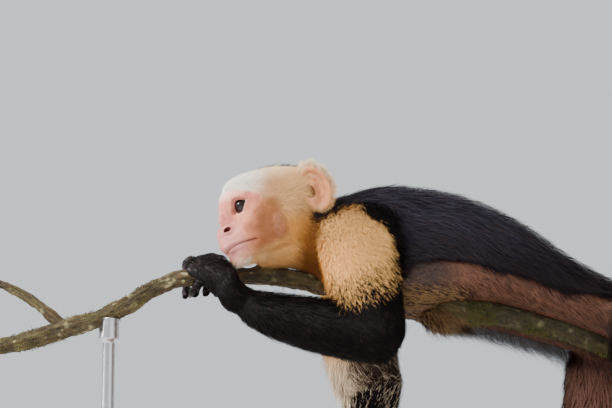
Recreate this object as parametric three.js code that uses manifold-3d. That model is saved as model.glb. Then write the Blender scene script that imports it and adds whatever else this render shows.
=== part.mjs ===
// A life-size white-faced capuchin monkey lying along a branch, as a museum shows it.
// The head points along -X, its left side along -Y. Its left hand grips the branch in front of the chin,
// and the other arm, both legs and the tail hang free. A flat base and two rods carry the branch.
// Millimetres, +Z up, origin on the floor under the middle of the base.
import * as THREE from "three";
import { mergeVertices } from "three/addons/utils/BufferGeometryUtils.js";
import Module from "manifold-3d";

const wasm = await Module();
wasm.setup();

// ---- Driving dimensions ----------------------------------------------------------------------
const GAP = 0.35; // between neighbouring pieces
const PERCH_HEIGHT = 400; // floor to the perch frame, whose origin lies in the branch under the chest
const BASE = { length: 600, width: 230, thickness: 16, corner: 28, bevel: 2 };
const ROD = { radius: 5, flange: 17, flangeHeight: 6, collar: 8, collarHeight: 16 };
const ROD_X = { front: -226, rear: 264 };

const HEAD = { x: -80.8, y: 0, z: 68, yaw: 24, pitch: 20 }; // midway between the ear openings, degrees
const EYE = { forward: 46.8, aside: 13.8, up: 4.6, radius: 8.7 };
const EAR = { forward: -6, aside: 32.5, up: 0.5, wide: 12, tall: 19, deep: 5.5, flare: 34, lean: 10 };
const FINGER = { base: 4.3, tip: 3.2, length: 40 };
const TOE = { base: 4.5, tip: 3.4, length: 38 };

// ---- Stations: x, y, z, half width across, half height -----------------------------------------
const BRANCH = [
  [-318, 4, -53, 6.6],
  [-292, 2, -47.5, 6.8],
  [-266, 0, -39.5, 8],
  [-246, -1, -34, 7.4],
  [-221, -1, -24.5, 7],
  [-195, 0, -8, 6.9],
  [-174, 1, 1.2, 6.5],
  [-153, 0, 3.8, 6.5],
  [-119, 0, 4.5, 7.1],
  [-90, 0, 3.2, 7.7],
  [-28, 0, -7.6, 8.3],
  [52, 0, -19.2, 9.3],
  [131, 0, -36.4, 10.5],
  [209, 0, -61, 11.4],
  [300, -3, -88.5, 12.5],
];
const TWIG = [
  [-262, 0, -36, 5.2],
  [-275, 1, -25, 4.2],
  [-290, 3, -13.5, 3.9],
  [-306, 5, -4, 3.6],
  [-319, 6, 1.5, 3.4],
];
const TRUNK = [
  [-42, 0, 17, 31, 43],
  [-20, 0, 20, 38, 53],
  [10, 0, 24.5, 40, 53],
  [45, 0, 25, 39, 46],
  [85, 0, 14.5, 37, 37.5],
  [124, 0, -5, 35, 29],
  [163, 0, -23, 37, 24.5],
  [195, 0, -37, 40, 24],
  [224, 0, -51, 33, 20],
];
const TRUNK_ROLL = 7; // degrees, the right flank lower
const TRUNK_CUTS = [36, 148]; // chest, abdomen and pelvis part here
const FLANK_SAG = [
  [24, 16, 0, 19],
  [58, 21, -12, 20],
  [95, 23, -20, 21],
  [135, 23, -32, 20],
  [172, 20, -46, 18],
  [205, 10, -60, 15],
];
const NECK = [
  [-8, 0, 28, 37, 42],
  [-45, -1, 33, 33, 35],
  [-72, -4, 38, 28, 31],
  [-88, -9, 43, 24, 26],
];
const ARMS = {
  left: {
    upper: [
      [-31, -27, 42, 19, 32],
      [-29, -37, 16, 22, 33],
      [-23, -44, -18, 23, 30],
      [-15, -49, -49, 21, 24],
    ],
    fore: [
      [-12, -49, -51, 20, 24],
      [-40, -46, -46, 19, 24.5],
      [-75, -40, -38, 17, 22.5],
      [-104, -33, -29, 14.5, 18.5],
      [-125, -26, -17, 12, 14.5],
    ],
  },
  right: {
    upper: [
      [-31, 27, 42, 19, 32],
      [-31, 37, 14, 22, 32],
      [-26, 43, -30, 23, 30],
      [-19, 45, -72, 21, 27],
    ],
    fore: [
      [-17, 45, -76, 20, 26],
      [-21, 45, -112, 18.5, 23],
      [-30, 43, -150, 15, 18.5],
      [-40, 40, -190, 12, 13.5],
    ],
  },
};
const LEGS = {
  left: {
    thigh: [
      [199, -29, -30, 22, 38],
      [200, -40, -66, 25, 39],
      [201, -50, -106, 22, 31],
      [200, -56, -140, 19, 23],
    ],
    shank: [
      [198, -56, -143, 18, 23],
      [209, -57, -176, 17.5, 22],
      [224, -55, -212, 14, 16],
      [236, -52, -246, 11, 12.5],
    ],
    foot: [
      [238, -52, -250, 12, 13],
      [231, -52, -272, 12.5, 11],
      [214, -51, -288, 14, 9],
      [198, -50, -300, 15, 7.5],
    ],
  },
  right: {
    thigh: [
      [190, 27, -32, 22, 38],
      [178, 38, -68, 25, 41],
      [167, 47, -108, 22, 34],
      [160, 52, -144, 19, 25],
    ],
    shank: [
      [159, 52, -148, 18, 24],
      [168, 52, -181, 17.5, 22],
      [181, 50, -218, 14, 16],
      [189, 47, -252, 11, 12.5],
    ],
    foot: [
      [190, 47, -256, 12, 13],
      [183, 47, -278, 12.5, 11],
      [167, 47, -295, 14, 9],
      [151, 48, -307, 15, 7.5],
    ],
  },
};
const TAIL = [
  [222, 0, -46, 17],
  [246, -5, -44, 15.5],
  [268, -16, -56, 15],
  [282, -30, -86, 14.5],
  [288, -41, -128, 14],
  [290, -47, -172, 13.5],
  [291, -50, -216, 13],
  [294, -52, -255, 12.5],
  [305, -53, -287, 12],
  [326, -53, -301, 11],
  [348, -52, -288, 10],
  [354, -50, -262, 9],
  [343, -48, -243, 8],
  [327, -47, -246, 6.5],
];
const TAIL_LENGTH = 430;
const TAIL_PIECES = 4;

// ---- Small helpers -----------------------------------------------------------------------------
const SIDEWAYS = new THREE.Vector3(0, 1, 0);
const LENGTHWAYS = new THREE.Vector3(1, 0, 0);
const radians = THREE.MathUtils.degToRad;
const point = (x, y, z) => new THREE.Vector3(x, y, z);
const leftward = { left: 1, right: -1 };

// A closed geometry as a solid that can be joined and cut.
function solid(geometry) {
  const bare = geometry.clone();
  bare.deleteAttribute("normal");
  bare.deleteAttribute("uv");
  const merged = mergeVertices(bare, 1e-4);
  const mesh = new wasm.Mesh({
    numProp: 3,
    vertProperties: merged.attributes.position.array,
    triVerts: new Uint32Array(merged.index.array),
  });
  return new wasm.Manifold(mesh);
}

// The largest single body of a solid, which drops the slivers a cut may leave.
function largest(shape) {
  return shape.decompose().reduce((a, b) => (b.volume() > a.volume() ? b : a));
}

function geometryOf(shape) {
  const mesh = shape.getMesh();
  const positions = new Float32Array(mesh.numVert * 3);
  for (let i = 0; i < mesh.numVert; i++) {
    positions.set(mesh.vertProperties.subarray(i * mesh.numProp, i * mesh.numProp + 3), i * 3);
  }
  const geometry = new THREE.BufferGeometry();
  geometry.setAttribute("position", new THREE.BufferAttribute(positions, 3));
  geometry.setIndex(new THREE.BufferAttribute(mesh.triVerts, 1));
  geometry.computeVertexNormals();
  return geometry;
}

// A closed tube through stations of [x, y, z, half width, half height], round-ended unless cap is 0.
// The width runs along `across`, and a power over 2 squares the section off.
function tube(stations, options = {}) {
  const { sides = 11, steps = 2, across = SIDEWAYS, power = 2, grow = 0, cap = 0.75, from = 0, to = 1 } = options;
  const path = new THREE.CatmullRomCurve3(stations.map(([x, y, z]) => point(x, y, z)));
  const sizes = new THREE.CatmullRomCurve3(
    stations.map(([, , , wide, tall = wide]) => point(wide + grow, tall + grow, 0)),
  );
  const count = Math.round((stations.length - 1) * steps * (to - from));
  const vertices = [];
  const ring = (centre, tangent, wide, tall) => {
    const side = across.clone().addScaledVector(tangent, -across.dot(tangent)).normalize();
    const up = point().crossVectors(side, tangent);
    for (let i = 0; i < sides; i++) {
      const angle = ((i + 0.5) / sides) * Math.PI * 2;
      const [c, s] = [Math.cos(angle), Math.sin(angle)];
      const reach = (Math.abs(c) ** power + Math.abs(s) ** power) ** (-1 / power);
      const corner = centre.clone().addScaledVector(side, wide * reach * c);
      vertices.push(corner.addScaledVector(up, tall * reach * s));
    }
  };
  const end = (t, sign, angle) => {
    const [centre, tangent, size] = [path.getPoint(t), path.getTangent(t), sizes.getPoint(t)];
    const bulge = Math.min(size.x, size.y) * cap * sign + grow * sign;
    const middle = centre.addScaledVector(tangent, bulge * Math.sin(angle));
    if (angle < 1.5) ring(middle, tangent, size.x * Math.cos(angle), size.y * Math.cos(angle));
    else vertices.push(middle);
  };
  const turns = (cap ? [90, 50] : [90]).map(radians);
  turns.forEach((angle) => end(from, -1, angle));
  for (let i = 0; i <= count; i++) {
    const t = from + ((to - from) * i) / count;
    const size = sizes.getPoint(t);
    ring(path.getPoint(t), path.getTangent(t), size.x, size.y);
  }
  turns.reverse().forEach((angle) => end(to, 1, angle));
  return solid(new THREE.BufferGeometry().setFromPoints(vertices).setIndex(tubeFaces(vertices.length, sides)));
}

// Triangles over a point, rings of `sides` points each, and a last point.
function tubeFaces(count, sides) {
  const faces = [];
  const rings = (count - 2) / sides;
  const top = 1 + (rings - 1) * sides;
  for (let j = 0; j < sides; j++) {
    const next = (j + 1) % sides;
    faces.push(0, 1 + j, 1 + next);
    for (let i = 0; i < rings - 1; i++) {
      const [a, b] = [1 + i * sides + j, 1 + i * sides + next];
      faces.push(a, b + sides, b, a, a + sides, b + sides);
    }
    faces.push(top + j, count - 1, top + next);
  }
  return faces;
}

// The part of a solid between two x planes.
function slice(shape, from, to) {
  const box = new THREE.BoxGeometry(to - from, 900, 900).translate((from + to) / 2, 0, 0);
  return largest(shape.intersect(solid(box)));
}

const cutFrom = (shape, ...cutters) => largest(cutters.reduce((left, c) => left.subtract(c), shape));

// ---- The head, as a field that is negative inside -------------------------------------------------
// Each form is [forward, aside, up, and half its size along the same three]. Paired forms are mirrored.
const HEAD_FORMS = {
  cranium: [[17, 0, 4, 41.5, 30.5, 27.5]],
  brow: [[44, 0, 14, 15.5, 20, 12]],
  face: [[43, 0, -4, 15, 28, 24]],
  bridge: [[56, 0, 1, 7.5, 6.5, 13]],
  muzzle: [[53, 0, -19, 16.5, 16.5, 13]],
  nose: [[64, 0, -11.5, 8.5, 8.5, 6]],
  chin: [[54.5, 0, -30, 12.5, 13, 12.5]],
  cheek: [[25, -16, -14, 25, 17, 24], [25, 16, -14, 25, 17, 24]],
  throat: [[20, 0, -32, 34, 24, 21]],
};
const SOCKET = { forward: 63, up: 4.6, deep: 11, wide: 8.4, tall: 6.4 };
const BLEND = 5;

function ellipsoid(p, [x, y, z, a, b, c]) {
  const [u, v, w] = [p.x - x, p.y - y, p.z - z];
  const near = Math.hypot(u / a, v / b, w / c);
  const steep = Math.hypot(u / (a * a), v / (b * b), w / (c * c));
  return (near * (near - 1)) / Math.max(steep, 1e-9);
}

function join(a, b, k) {
  const h = Math.max(k - Math.abs(a - b), 0) / k;
  return Math.min(a, b) - (h * h * k) / 4;
}

function headField(p) {
  let d = Infinity;
  for (const form of Object.values(HEAD_FORMS).flat()) {
    d = d === Infinity ? ellipsoid(p, form) : join(d, ellipsoid(p, form), BLEND);
  }
  for (const side of [-1, 1]) {
    const hollow = [SOCKET.forward, side * EYE.aside, SOCKET.up, SOCKET.deep, SOCKET.wide, SOCKET.tall];
    d = -join(-d, ellipsoid(p, hollow), 3);
  }
  return d;
}

// Casts a fine ball out from a centre onto the surface of a field.
function cast(field, centre, detail, grow = 0) {
  const ball = new THREE.IcosahedronGeometry(1, detail);
  ball.deleteAttribute("normal");
  ball.deleteAttribute("uv");
  const merged = mergeVertices(ball, 1e-4);
  const place = merged.attributes.position;
  const way = point();
  const value = (t) => field(centre.clone().addScaledVector(way, t)) - grow;
  for (let i = 0; i < place.count; i++) {
    way.fromBufferAttribute(place, i).normalize();
    let outside = 90;
    while (value(outside - 1) > 0) outside -= 1;
    let inside = outside - 1;
    for (let n = 0; n < 14; n++) {
      const middle = (inside + outside) / 2;
      if (value(middle) > 0) outside = middle;
      else inside = middle;
    }
    place.setXYZ(i, ...centre.clone().addScaledVector(way, inside).toArray());
  }
  return solid(merged);
}

// ---- Frames --------------------------------------------------------------------------------------
// The head's own axes: x forward out of the face, y to its left, z up through the crown.
function headMatrix() {
  const [yaw, pitch] = [radians(HEAD.yaw), radians(HEAD.pitch)];
  const forward = point(-Math.cos(yaw) * Math.cos(pitch), -Math.sin(yaw) * Math.cos(pitch), -Math.sin(pitch));
  const left = point(Math.sin(yaw), -Math.cos(yaw), 0);
  const up = point().crossVectors(forward, left);
  return new THREE.Matrix4().makeBasis(forward, left, up).setPosition(HEAD.x, HEAD.y, HEAD.z);
}

const inHead = headMatrix();
const toPerch = (shape) => solid(geometryOf(shape).applyMatrix4(inHead));

// ---- Head, eyes and ears in the head's own frame --------------------------------------------------
const eyeBall = (side, grow = 0) =>
  solid(
    new THREE.SphereGeometry(EYE.radius + grow, 12, 8)
      .rotateZ(-Math.PI / 2)
      .translate(EYE.forward, side * EYE.aside, EYE.up),
  );

// A cupped ear: a flat egg with a smaller one taken out of its outer face.
function ear(side, grow = 0) {
  const egg = new THREE.SphereGeometry(1, 11, 8).scale(EAR.wide + grow, EAR.deep + grow, EAR.tall + grow);
  const bowl = new THREE.SphereGeometry(1, 11, 8)
    .scale(EAR.wide * 0.8, EAR.deep, EAR.tall * 0.82)
    .translate(0, side * EAR.deep * 0.62, 0);
  const turn = new THREE.Matrix4()
    .makeTranslation(EAR.forward, side * EAR.aside, EAR.up)
    .multiply(new THREE.Matrix4().makeRotationZ(radians(-side * EAR.flare)))
    .multiply(new THREE.Matrix4().makeRotationY(radians(-EAR.lean)));
  const whole = solid(egg).subtract(solid(bowl));
  return solid(geometryOf(whole).applyMatrix4(turn));
}

// ---- Hands and feet ---------------------------------------------------------------------------------
// A digit as a thin tube through points, tapering from its base to its tip.
function digit(points, { base, tip }, across, grow = 0) {
  const stations = points.map(({ x, y, z }, i) => {
    const radius = base + ((tip - base) * i) / (points.length - 1);
    return [x, y, z, radius];
  });
  return tube(stations, { sides: 5, steps: 1, across, grow, cap: 0.9 });
}

// The branch's centre and radius at a given x.
function branchAt(x) {
  const i = BRANCH.findIndex((s, n) => n && x <= s[0]);
  const [a, b] = [BRANCH[i - 1], BRANCH[i]];
  const t = (x - a[0]) / (b[0] - a[0]);
  return { y: a[1] + t * (b[1] - a[1]), z: a[2] + t * (b[2] - a[2]), radius: a[3] + t * (b[3] - a[3]) };
}

// Points on an arc round the branch, in degrees: 90 is on top, 180 on the left side, -90 underneath.
function round(from, to, xFrom, xTo, size, count) {
  return Array.from({ length: count }, (_, i) => {
    const t = i / (count - 1);
    const x = xFrom + t * (xTo - xFrom);
    const at = branchAt(x);
    const reach = at.radius + size + 1;
    const angle = radians(from + t * (to - from));
    return point(x, at.y + reach * Math.cos(angle), at.z + reach * Math.sin(angle));
  });
}

// The left hand lies over the branch, with its fingers down the far side and its thumb underneath.
function grippingHand(grow = 0) {
  const palm = tube(
    [
      [-126, -25, -17, 11.5, 13],
      [-134, -22, -5, 10.5, 13.5],
      [-144, -16, 7, 8.5, 14],
      [-153, -6, 13.5, 6.5, 15],
    ],
    { sides: 10, steps: 1, across: point(0.6, -0.2, -0.75).normalize(), grow },
  );
  let hand = palm;
  [-165, -157, -148.5, -140].forEach((x, i) => {
    const bend = [-62, -84, -84, -70][i];
    const start = point(x + 3, -9, 15);
    hand = hand.add(digit([start, ...round(88, bend, x, x - 1.5, FINGER.base, 5)], FINGER, LENGTHWAYS, grow));
  });
  const thumb = [point(-138, -22, -2), ...round(172, 262, -150, -161, FINGER.base, 4)];
  return hand.add(digit(thumb, FINGER, LENGTHWAYS, grow));
}

// A hand or foot that hangs relaxed: a palm with four digits in a row and a thumb or big toe.
function hanging(palm, { heel, knuckles, spread, curl, size, thumb }, grow = 0) {
  let whole = tube(palm, { sides: 10, steps: 1, grow });
  for (let i = 0; i < 4; i++) {
    const aside = (i - 1.5) * spread;
    const reach = size.length * [0.88, 1, 0.97, 0.8][i];
    const ahead = knuckles.clone().sub(heel).normalize();
    const points = [0, 0.5, 1].map((t) => {
      const way = ahead.clone().applyAxisAngle(SIDEWAYS, radians(curl * t));
      return knuckles.clone().add(point(0, aside * (1 + 0.25 * t), 0)).addScaledVector(way, reach * t - 3);
    });
    whole = whole.add(digit(points, size, SIDEWAYS, grow));
  }
  return whole.add(digit(thumb, size, LENGTHWAYS, grow));
}

const RIGHT_HAND = {
  palm: [
    [-41, 40, -193, 12, 12.5],
    [-45, 39, -210, 14, 10],
    [-50, 38, -226, 15.5, 8],
    [-54, 37, -238, 15.5, 6.5],
  ],
  pose: {
    heel: point(-44, 39, -204),
    knuckles: point(-54, 37, -240),
    spread: 8,
    curl: -34,
    size: FINGER,
    thumb: [point(-47, 30, -214), point(-55, 23, -226), point(-62, 19, -238), point(-66, 18, -248)],
  },
};

function footPose(stations, side) {
  const [toe, mid] = [stations[3], stations[2]];
  const inner = leftward[side];
  const thumb = [0, 1, 2, 3].map((i) =>
    point(mid[0] - 2 - 8 * i, mid[1] + inner * (8 + 7 * i - i * i), mid[2] - 3 - 7 * i),
  );
  return {
    heel: point(mid[0], mid[1], mid[2]),
    knuckles: point(toe[0], toe[1], toe[2]),
    spread: 8,
    curl: -38,
    size: TOE,
    thumb,
  };
}

// ---- The pieces, in the perch frame -----------------------------------------------------------------
// Each maker takes a growth and returns a solid. What is listed first keeps its form, and whatever is
// listed later gives way to it by a gap.
const makers = {};
const branchTube = (grow = 0) => tube(BRANCH, { sides: 10, steps: 1, grow, cap: 0.15 });
makers.perch_branch = branchTube;
makers.perch_twig = (grow) => tube(TWIG, { sides: 7, steps: 1, grow, cap: 0.15 });

const HEAD_CENTRE = point(28, 0, -8);
for (const side of ["left", "right"]) {
  makers[`eye_${side}`] = (grow) => toPerch(eyeBall(leftward[side], grow));
}
// the head's own cutter is a coarser ball, so it stands off twice as far
makers.head = (grow) => toPerch(cast(headField, HEAD_CENTRE, grow ? 6 : 8, 2 * grow));
for (const side of ["left", "right"]) {
  makers[`ear_${side}`] = (grow) => toPerch(ear(leftward[side], grow));
}

for (const side of ["left", "right"]) {
  const [arm, leg] = [ARMS[side], LEGS[side]];
  makers[`upper_arm_${side}`] = (grow) => tube(arm.upper, { grow });
  makers[`forearm_${side}`] = (grow) => tube(arm.fore, { grow });
  makers[`thigh_${side}`] = (grow) => tube(leg.thigh, { grow });
  makers[`shank_${side}`] = (grow) => tube(leg.shank, { grow });
  makers[`foot_${side}`] = (grow) => hanging(leg.foot, footPose(leg.foot, side), grow);
}
makers.hand_left = grippingHand;
makers.hand_right = (grow) => hanging(RIGHT_HAND.palm, RIGHT_HAND.pose, grow);

// The trunk, parted into chest, abdomen and pelvis. The belly rests on the branch and sags to its right.
const trunkWidth = SIDEWAYS.clone().applyAxisAngle(LENGTHWAYS, radians(-TRUNK_ROLL));
function barrel(grow) {
  const body = tube(TRUNK, { sides: 15, across: trunkWidth, power: 2.5, grow, cap: 0.62 });
  return body.add(tube(FLANK_SAG, { sides: 10, steps: 1, grow }));
}
const [chestEnd, pelvisStart] = TRUNK_CUTS;
makers.chest = (grow) => slice(barrel(grow), -200, chestEnd - GAP / 2 + grow);
makers.abdomen = (grow) => slice(barrel(grow), chestEnd + GAP / 2 - grow, pelvisStart - GAP / 2 + grow);
makers.pelvis = (grow) => slice(barrel(grow), pelvisStart + GAP / 2 - grow, 400);
makers.neck = (grow) => tube(NECK, { grow });

for (let i = 0; i < TAIL_PIECES; i++) {
  const half = GAP / 2 / TAIL_LENGTH;
  const from = i ? i / TAIL_PIECES + half : 0;
  const to = i < TAIL_PIECES - 1 ? (i + 1) / TAIL_PIECES - half : 1;
  const cap = i < TAIL_PIECES - 1 ? 0 : 0.75;
  makers[`tail_${i + 1}`] = (grow) => tube(TAIL, { sides: 9, from, to, cap, grow });
}

function apart(a, b) {
  const [p, q] = [a.boundingBox(), b.boundingBox()];
  return [0, 1, 2].some((i) => p.min[i] > q.max[i] || q.min[i] > p.max[i]);
}

function makePieces() {
  const pieces = {};
  const cutters = [];
  for (const [name, make] of Object.entries(makers)) {
    const shape = make(0);
    const near = cutters.filter((cutter) => !apart(cutter, shape));
    pieces[name] = cutFrom(shape, ...near);
    cutters.push(make(GAP));
  }
  return pieces;
}

// ---- The stand, in the part's frame ------------------------------------------------------------------
function standBase() {
  const { length, width, thickness, corner, bevel } = BASE;
  const [x, y] = [length / 2 - bevel, width / 2 - bevel];
  const outline = new THREE.Shape();
  outline.absarc(x - corner, y - corner, corner, 0, Math.PI / 2);
  outline.absarc(-x + corner, y - corner, corner, Math.PI / 2, Math.PI);
  outline.absarc(-x + corner, -y + corner, corner, Math.PI, 1.5 * Math.PI);
  outline.absarc(x - corner, -y + corner, corner, 1.5 * Math.PI, 2 * Math.PI);
  const board = new THREE.ExtrudeGeometry(outline, {
    depth: thickness - 2 * bevel,
    bevelThickness: bevel,
    bevelSize: bevel,
    bevelSegments: 1,
    curveSegments: 3,
  });
  return solid(board.translate(0, 0, bevel));
}

// A rod with a flange on the base and a collar under the branch, which it meets with a saddle.
function standRod(x) {
  const foot = BASE.thickness + GAP;
  const at = branchAt(x);
  const top = PERCH_HEIGHT + at.z;
  const { radius, flange, flangeHeight, collar, collarHeight } = ROD;
  const under = top - at.radius;
  const profile = [
    [0, foot],
    [flange, foot],
    [flange, foot + flangeHeight - 2],
    [flange - 3, foot + flangeHeight],
    [radius, foot + flangeHeight],
    [radius, under - collarHeight],
    [collar, under - collarHeight + 3],
    [collar, top],
    [0, top],
  ].map(([r, z]) => new THREE.Vector2(r, z));
  const rod = new THREE.LatheGeometry(profile, 10).rotateX(Math.PI / 2).translate(x, at.y, 0);
  return cutFrom(solid(rod), branchTube(GAP).translate([0, 0, PERCH_HEIGHT]));
}

// ---- Materials and the scene graph --------------------------------------------------------------------
const finish = (color, roughness, metalness = 0) => new THREE.MeshStandardMaterial({ color, roughness, metalness });
const FINISHES = {
  coat_black: finish(0x17130f, 0.75),
  coat_cream: finish(0xd9b37c, 0.8),
  face_skin: finish(0xe2b09c, 0.55),
  belly_skin: finish(0x8a4d38, 0.65),
  hand_skin: finish(0x2b2223, 0.6),
  eye: finish(0x2c1a10, 0.08),
  bark: finish(0x5d5138, 0.9),
  stand_board: finish(0x2a211b, 0.45),
  stand_metal: finish(0x8d8f92, 0.3, 1),
};
const WEARS = [
  [/^head|^ear/, "face_skin"],
  [/^eye/, "eye"],
  [/^neck|^chest|^upper_arm/, "coat_cream"],
  [/^abdomen/, "belly_skin"],
  [/^hand|^foot/, "hand_skin"],
  [/^perch/, "bark"],
  [/^stand_base/, "stand_board"],
  [/^stand_rod/, "stand_metal"],
  [/./, "coat_black"],
];

function meshOf(name, shape, frame) {
  const slot = WEARS.find(([pattern]) => pattern.test(name))[1];
  const geometry = geometryOf(shape);
  if (frame) geometry.applyMatrix4(frame.clone().invert());
  const mesh = new THREE.Mesh(geometry, FINISHES[slot]);
  mesh.name = name;
  return mesh;
}

const part = new THREE.Group();
const perchFrame = new THREE.Group();
perchFrame.position.z = PERCH_HEIGHT;
const headFrame = new THREE.Group();
headFrame.applyMatrix4(inHead);
perchFrame.add(headFrame);
part.add(perchFrame);

for (const [name, shape] of Object.entries(makePieces())) {
  const inTheHead = /^head|^ear|^eye/.test(name);
  if (inTheHead) headFrame.add(meshOf(name, shape, inHead));
  else perchFrame.add(meshOf(name, shape));
}
part.add(meshOf("stand_base", standBase()));
part.add(meshOf("stand_rod_front", standRod(ROD_X.front)));
part.add(meshOf("stand_rod_rear", standRod(ROD_X.rear)));

export default part;
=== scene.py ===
import bpy
import numpy as np
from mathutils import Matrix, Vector


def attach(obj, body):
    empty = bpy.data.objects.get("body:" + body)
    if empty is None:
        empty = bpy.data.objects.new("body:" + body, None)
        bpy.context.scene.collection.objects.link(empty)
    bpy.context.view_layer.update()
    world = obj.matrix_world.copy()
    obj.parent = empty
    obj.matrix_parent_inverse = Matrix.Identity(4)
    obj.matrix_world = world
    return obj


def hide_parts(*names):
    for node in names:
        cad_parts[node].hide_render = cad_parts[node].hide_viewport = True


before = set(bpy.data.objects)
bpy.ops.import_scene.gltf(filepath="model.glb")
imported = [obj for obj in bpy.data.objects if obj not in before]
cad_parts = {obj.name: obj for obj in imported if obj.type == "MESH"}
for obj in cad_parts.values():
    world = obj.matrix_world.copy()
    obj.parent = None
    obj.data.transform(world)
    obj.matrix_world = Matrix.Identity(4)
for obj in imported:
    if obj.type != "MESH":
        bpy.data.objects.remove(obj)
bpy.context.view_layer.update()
rng = np.random.default_rng(7)

PERCH_HEIGHT = 400.0
MM = 0.001

# ---- Stations: x, y, z, half width across, half height, out to the coat's tips --------------------------
BRANCH = [
    (-318, 4, -53, 6.6), (-292, 2, -47.5, 6.8), (-266, 0, -39.5, 8), (-246, -1, -34, 7.4),
    (-221, -1, -24.5, 7), (-195, 0, -8, 6.9), (-174, 1, 1.2, 6.5), (-153, 0, 3.8, 6.5),
    (-119, 0, 4.5, 7.1), (-90, 0, 3.2, 7.7), (-28, 0, -7.6, 8.3), (52, 0, -19.2, 9.3),
    (131, 0, -36.4, 10.5), (209, 0, -61, 11.4), (300, -3, -88.5, 12.5),
]
TWIG = [
    (-262, 0, -36, 5.2), (-275, 1, -25, 4.2), (-290, 3, -13.5, 3.9), (-306, 5, -4, 3.6), (-319, 6, 1.5, 3.4),
]
TRUNK = [
    (-42, 0, 17, 31, 43), (-20, 0, 20, 38, 53), (10, 0, 24.5, 40, 53), (45, 0, 25, 39, 46),
    (85, 0, 14.5, 37, 37.5), (124, 0, -5, 35, 29), (163, 0, -23, 37, 24.5), (195, 0, -37, 40, 24),
    (224, 0, -51, 33, 20),
]
TRUNK_ROLL = 7
FLANK_SAG = [
    (24, 16, 0, 19), (58, 21, -12, 20), (95, 23, -20, 21), (135, 23, -32, 20), (172, 20, -46, 18), (205, 10, -60, 15),
]
NECK = [(-8, 0, 28, 37, 42), (-45, -1, 33, 33, 35), (-72, -4, 38, 28, 31), (-88, -9, 43, 24, 26)]
UPPER_ARM_LEFT = [
    (-31, -27, 42, 19, 32), (-29, -37, 16, 22, 33), (-23, -44, -18, 23, 30), (-15, -49, -49, 21, 24),
]
FOREARM_LEFT = [
    (-12, -49, -51, 20, 24), (-40, -46, -46, 19, 24.5), (-75, -40, -38, 17, 22.5),
    (-104, -33, -29, 14.5, 18.5), (-125, -26, -17, 12, 14.5),
]
UPPER_ARM_RIGHT = [
    (-31, 27, 42, 19, 32), (-31, 37, 14, 22, 32), (-26, 43, -30, 23, 30), (-19, 45, -72, 21, 27),
]
FOREARM_RIGHT = [
    (-17, 45, -76, 20, 26), (-21, 45, -112, 18.5, 23), (-30, 43, -150, 15, 18.5), (-40, 40, -190, 12, 13.5),
]
THIGH_LEFT = [
    (199, -29, -30, 22, 38), (200, -40, -66, 25, 39), (201, -50, -106, 22, 31), (200, -56, -140, 19, 23),
]
SHANK_LEFT = [
    (198, -56, -143, 18, 23), (209, -57, -176, 17.5, 22),
    (224, -55, -212, 14, 16), (236, -52, -246, 11, 12.5),
]
SOLE_LEFT = [
    (238, -52, -250, 12, 13), (231, -52, -272, 12.5, 11), (214, -51, -288, 14, 9), (198, -50, -300, 15, 7.5),
]
THIGH_RIGHT = [
    (190, 27, -32, 22, 38), (178, 38, -68, 25, 41), (167, 47, -108, 22, 34), (160, 52, -144, 19, 25),
]
SHANK_RIGHT = [
    (159, 52, -148, 18, 24), (168, 52, -181, 17.5, 22), (181, 50, -218, 14, 16), (189, 47, -252, 11, 12.5),
]
SOLE_RIGHT = [
    (190, 47, -256, 12, 13), (183, 47, -278, 12.5, 11), (167, 47, -295, 14, 9), (151, 48, -307, 15, 7.5),
]
TAIL = [
    (222, 0, -46, 17), (246, -5, -44, 15.5), (268, -16, -56, 15), (282, -30, -86, 14.5), (288, -41, -128, 14),
    (290, -47, -172, 13.5), (291, -50, -216, 13), (294, -52, -255, 12.5), (305, -53, -287, 12),
    (326, -53, -301, 11), (348, -52, -288, 10), (354, -50, -262, 9), (343, -48, -243, 8), (327, -47, -246, 6.5),
]
PALM_LEFT = [
    (-126, -25, -17, 11.5, 13), (-134, -22, -5, 10.5, 13.5),
    (-144, -16, 7, 8.5, 14), (-153, -6, 13.5, 6.5, 15),
]
PALM_RIGHT = [
    (-41, 40, -193, 12, 12.5), (-45, 39, -210, 14, 10), (-50, 38, -226, 15.5, 8), (-54, 37, -238, 15.5, 6.5),
]

HEAD_AT, HEAD_YAW, HEAD_PITCH = (-80.8, 0.0, 68.0), 24.0, 20.0
EYE_AT, EYE_RADIUS = (46.8, 13.8, 4.6), 8.7
FINGER, TOE = (4.3, 3.2, 40.0), (4.5, 3.4, 38.0)


# ---- Small helpers --------------------------------------------------------------------------------------
def unit(v):
    v = np.asarray(v, float)
    return v / np.maximum(np.linalg.norm(v, axis=-1, keepdims=True), 1e-9)


def rotate(v, axis, degrees):
    axis, a = unit(axis), np.radians(degrees)
    v = np.asarray(v, float)
    return v * np.cos(a) + np.cross(axis, v) * np.sin(a) + axis * (v @ axis)[..., None] * (1 - np.cos(a))


def step(x, low, high):
    t = np.clip((x - low) / (high - low), 0, 1)
    return t * t * (3 - 2 * t)


def blend(a, b, w):
    return a + (b - a) * w[..., None]


def lattice(i, seed):
    h = (i[..., 0].astype(np.uint32) * np.uint32(374761393) + i[..., 1].astype(np.uint32) * np.uint32(668265263)
         + i[..., 2].astype(np.uint32) * np.uint32(2246822519) + np.uint32(seed * 3266489917 % 4294967296))
    h = (h ^ (h >> np.uint32(13))) * np.uint32(1274126177)
    return ((h ^ (h >> np.uint32(16))) & np.uint32(65535)).astype(np.float32) / 32767.5 - 1


def noise(p, size, seed=0):
    """Smooth noise from -1 to 1 with features of about `size` mm."""
    q = np.asarray(p, np.float32) / np.asarray(size, np.float32)
    i = np.floor(q).astype(np.int64)
    f = q - i
    f = f * f * (3 - 2 * f)
    total = 0
    for corner in range(8):
        o = np.array([corner & 1, corner >> 1 & 1, corner >> 2 & 1])
        w = np.prod(np.where(o, f, 1 - f), axis=-1)
        total = total + w * lattice(i + o, seed)
    return total


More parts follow.
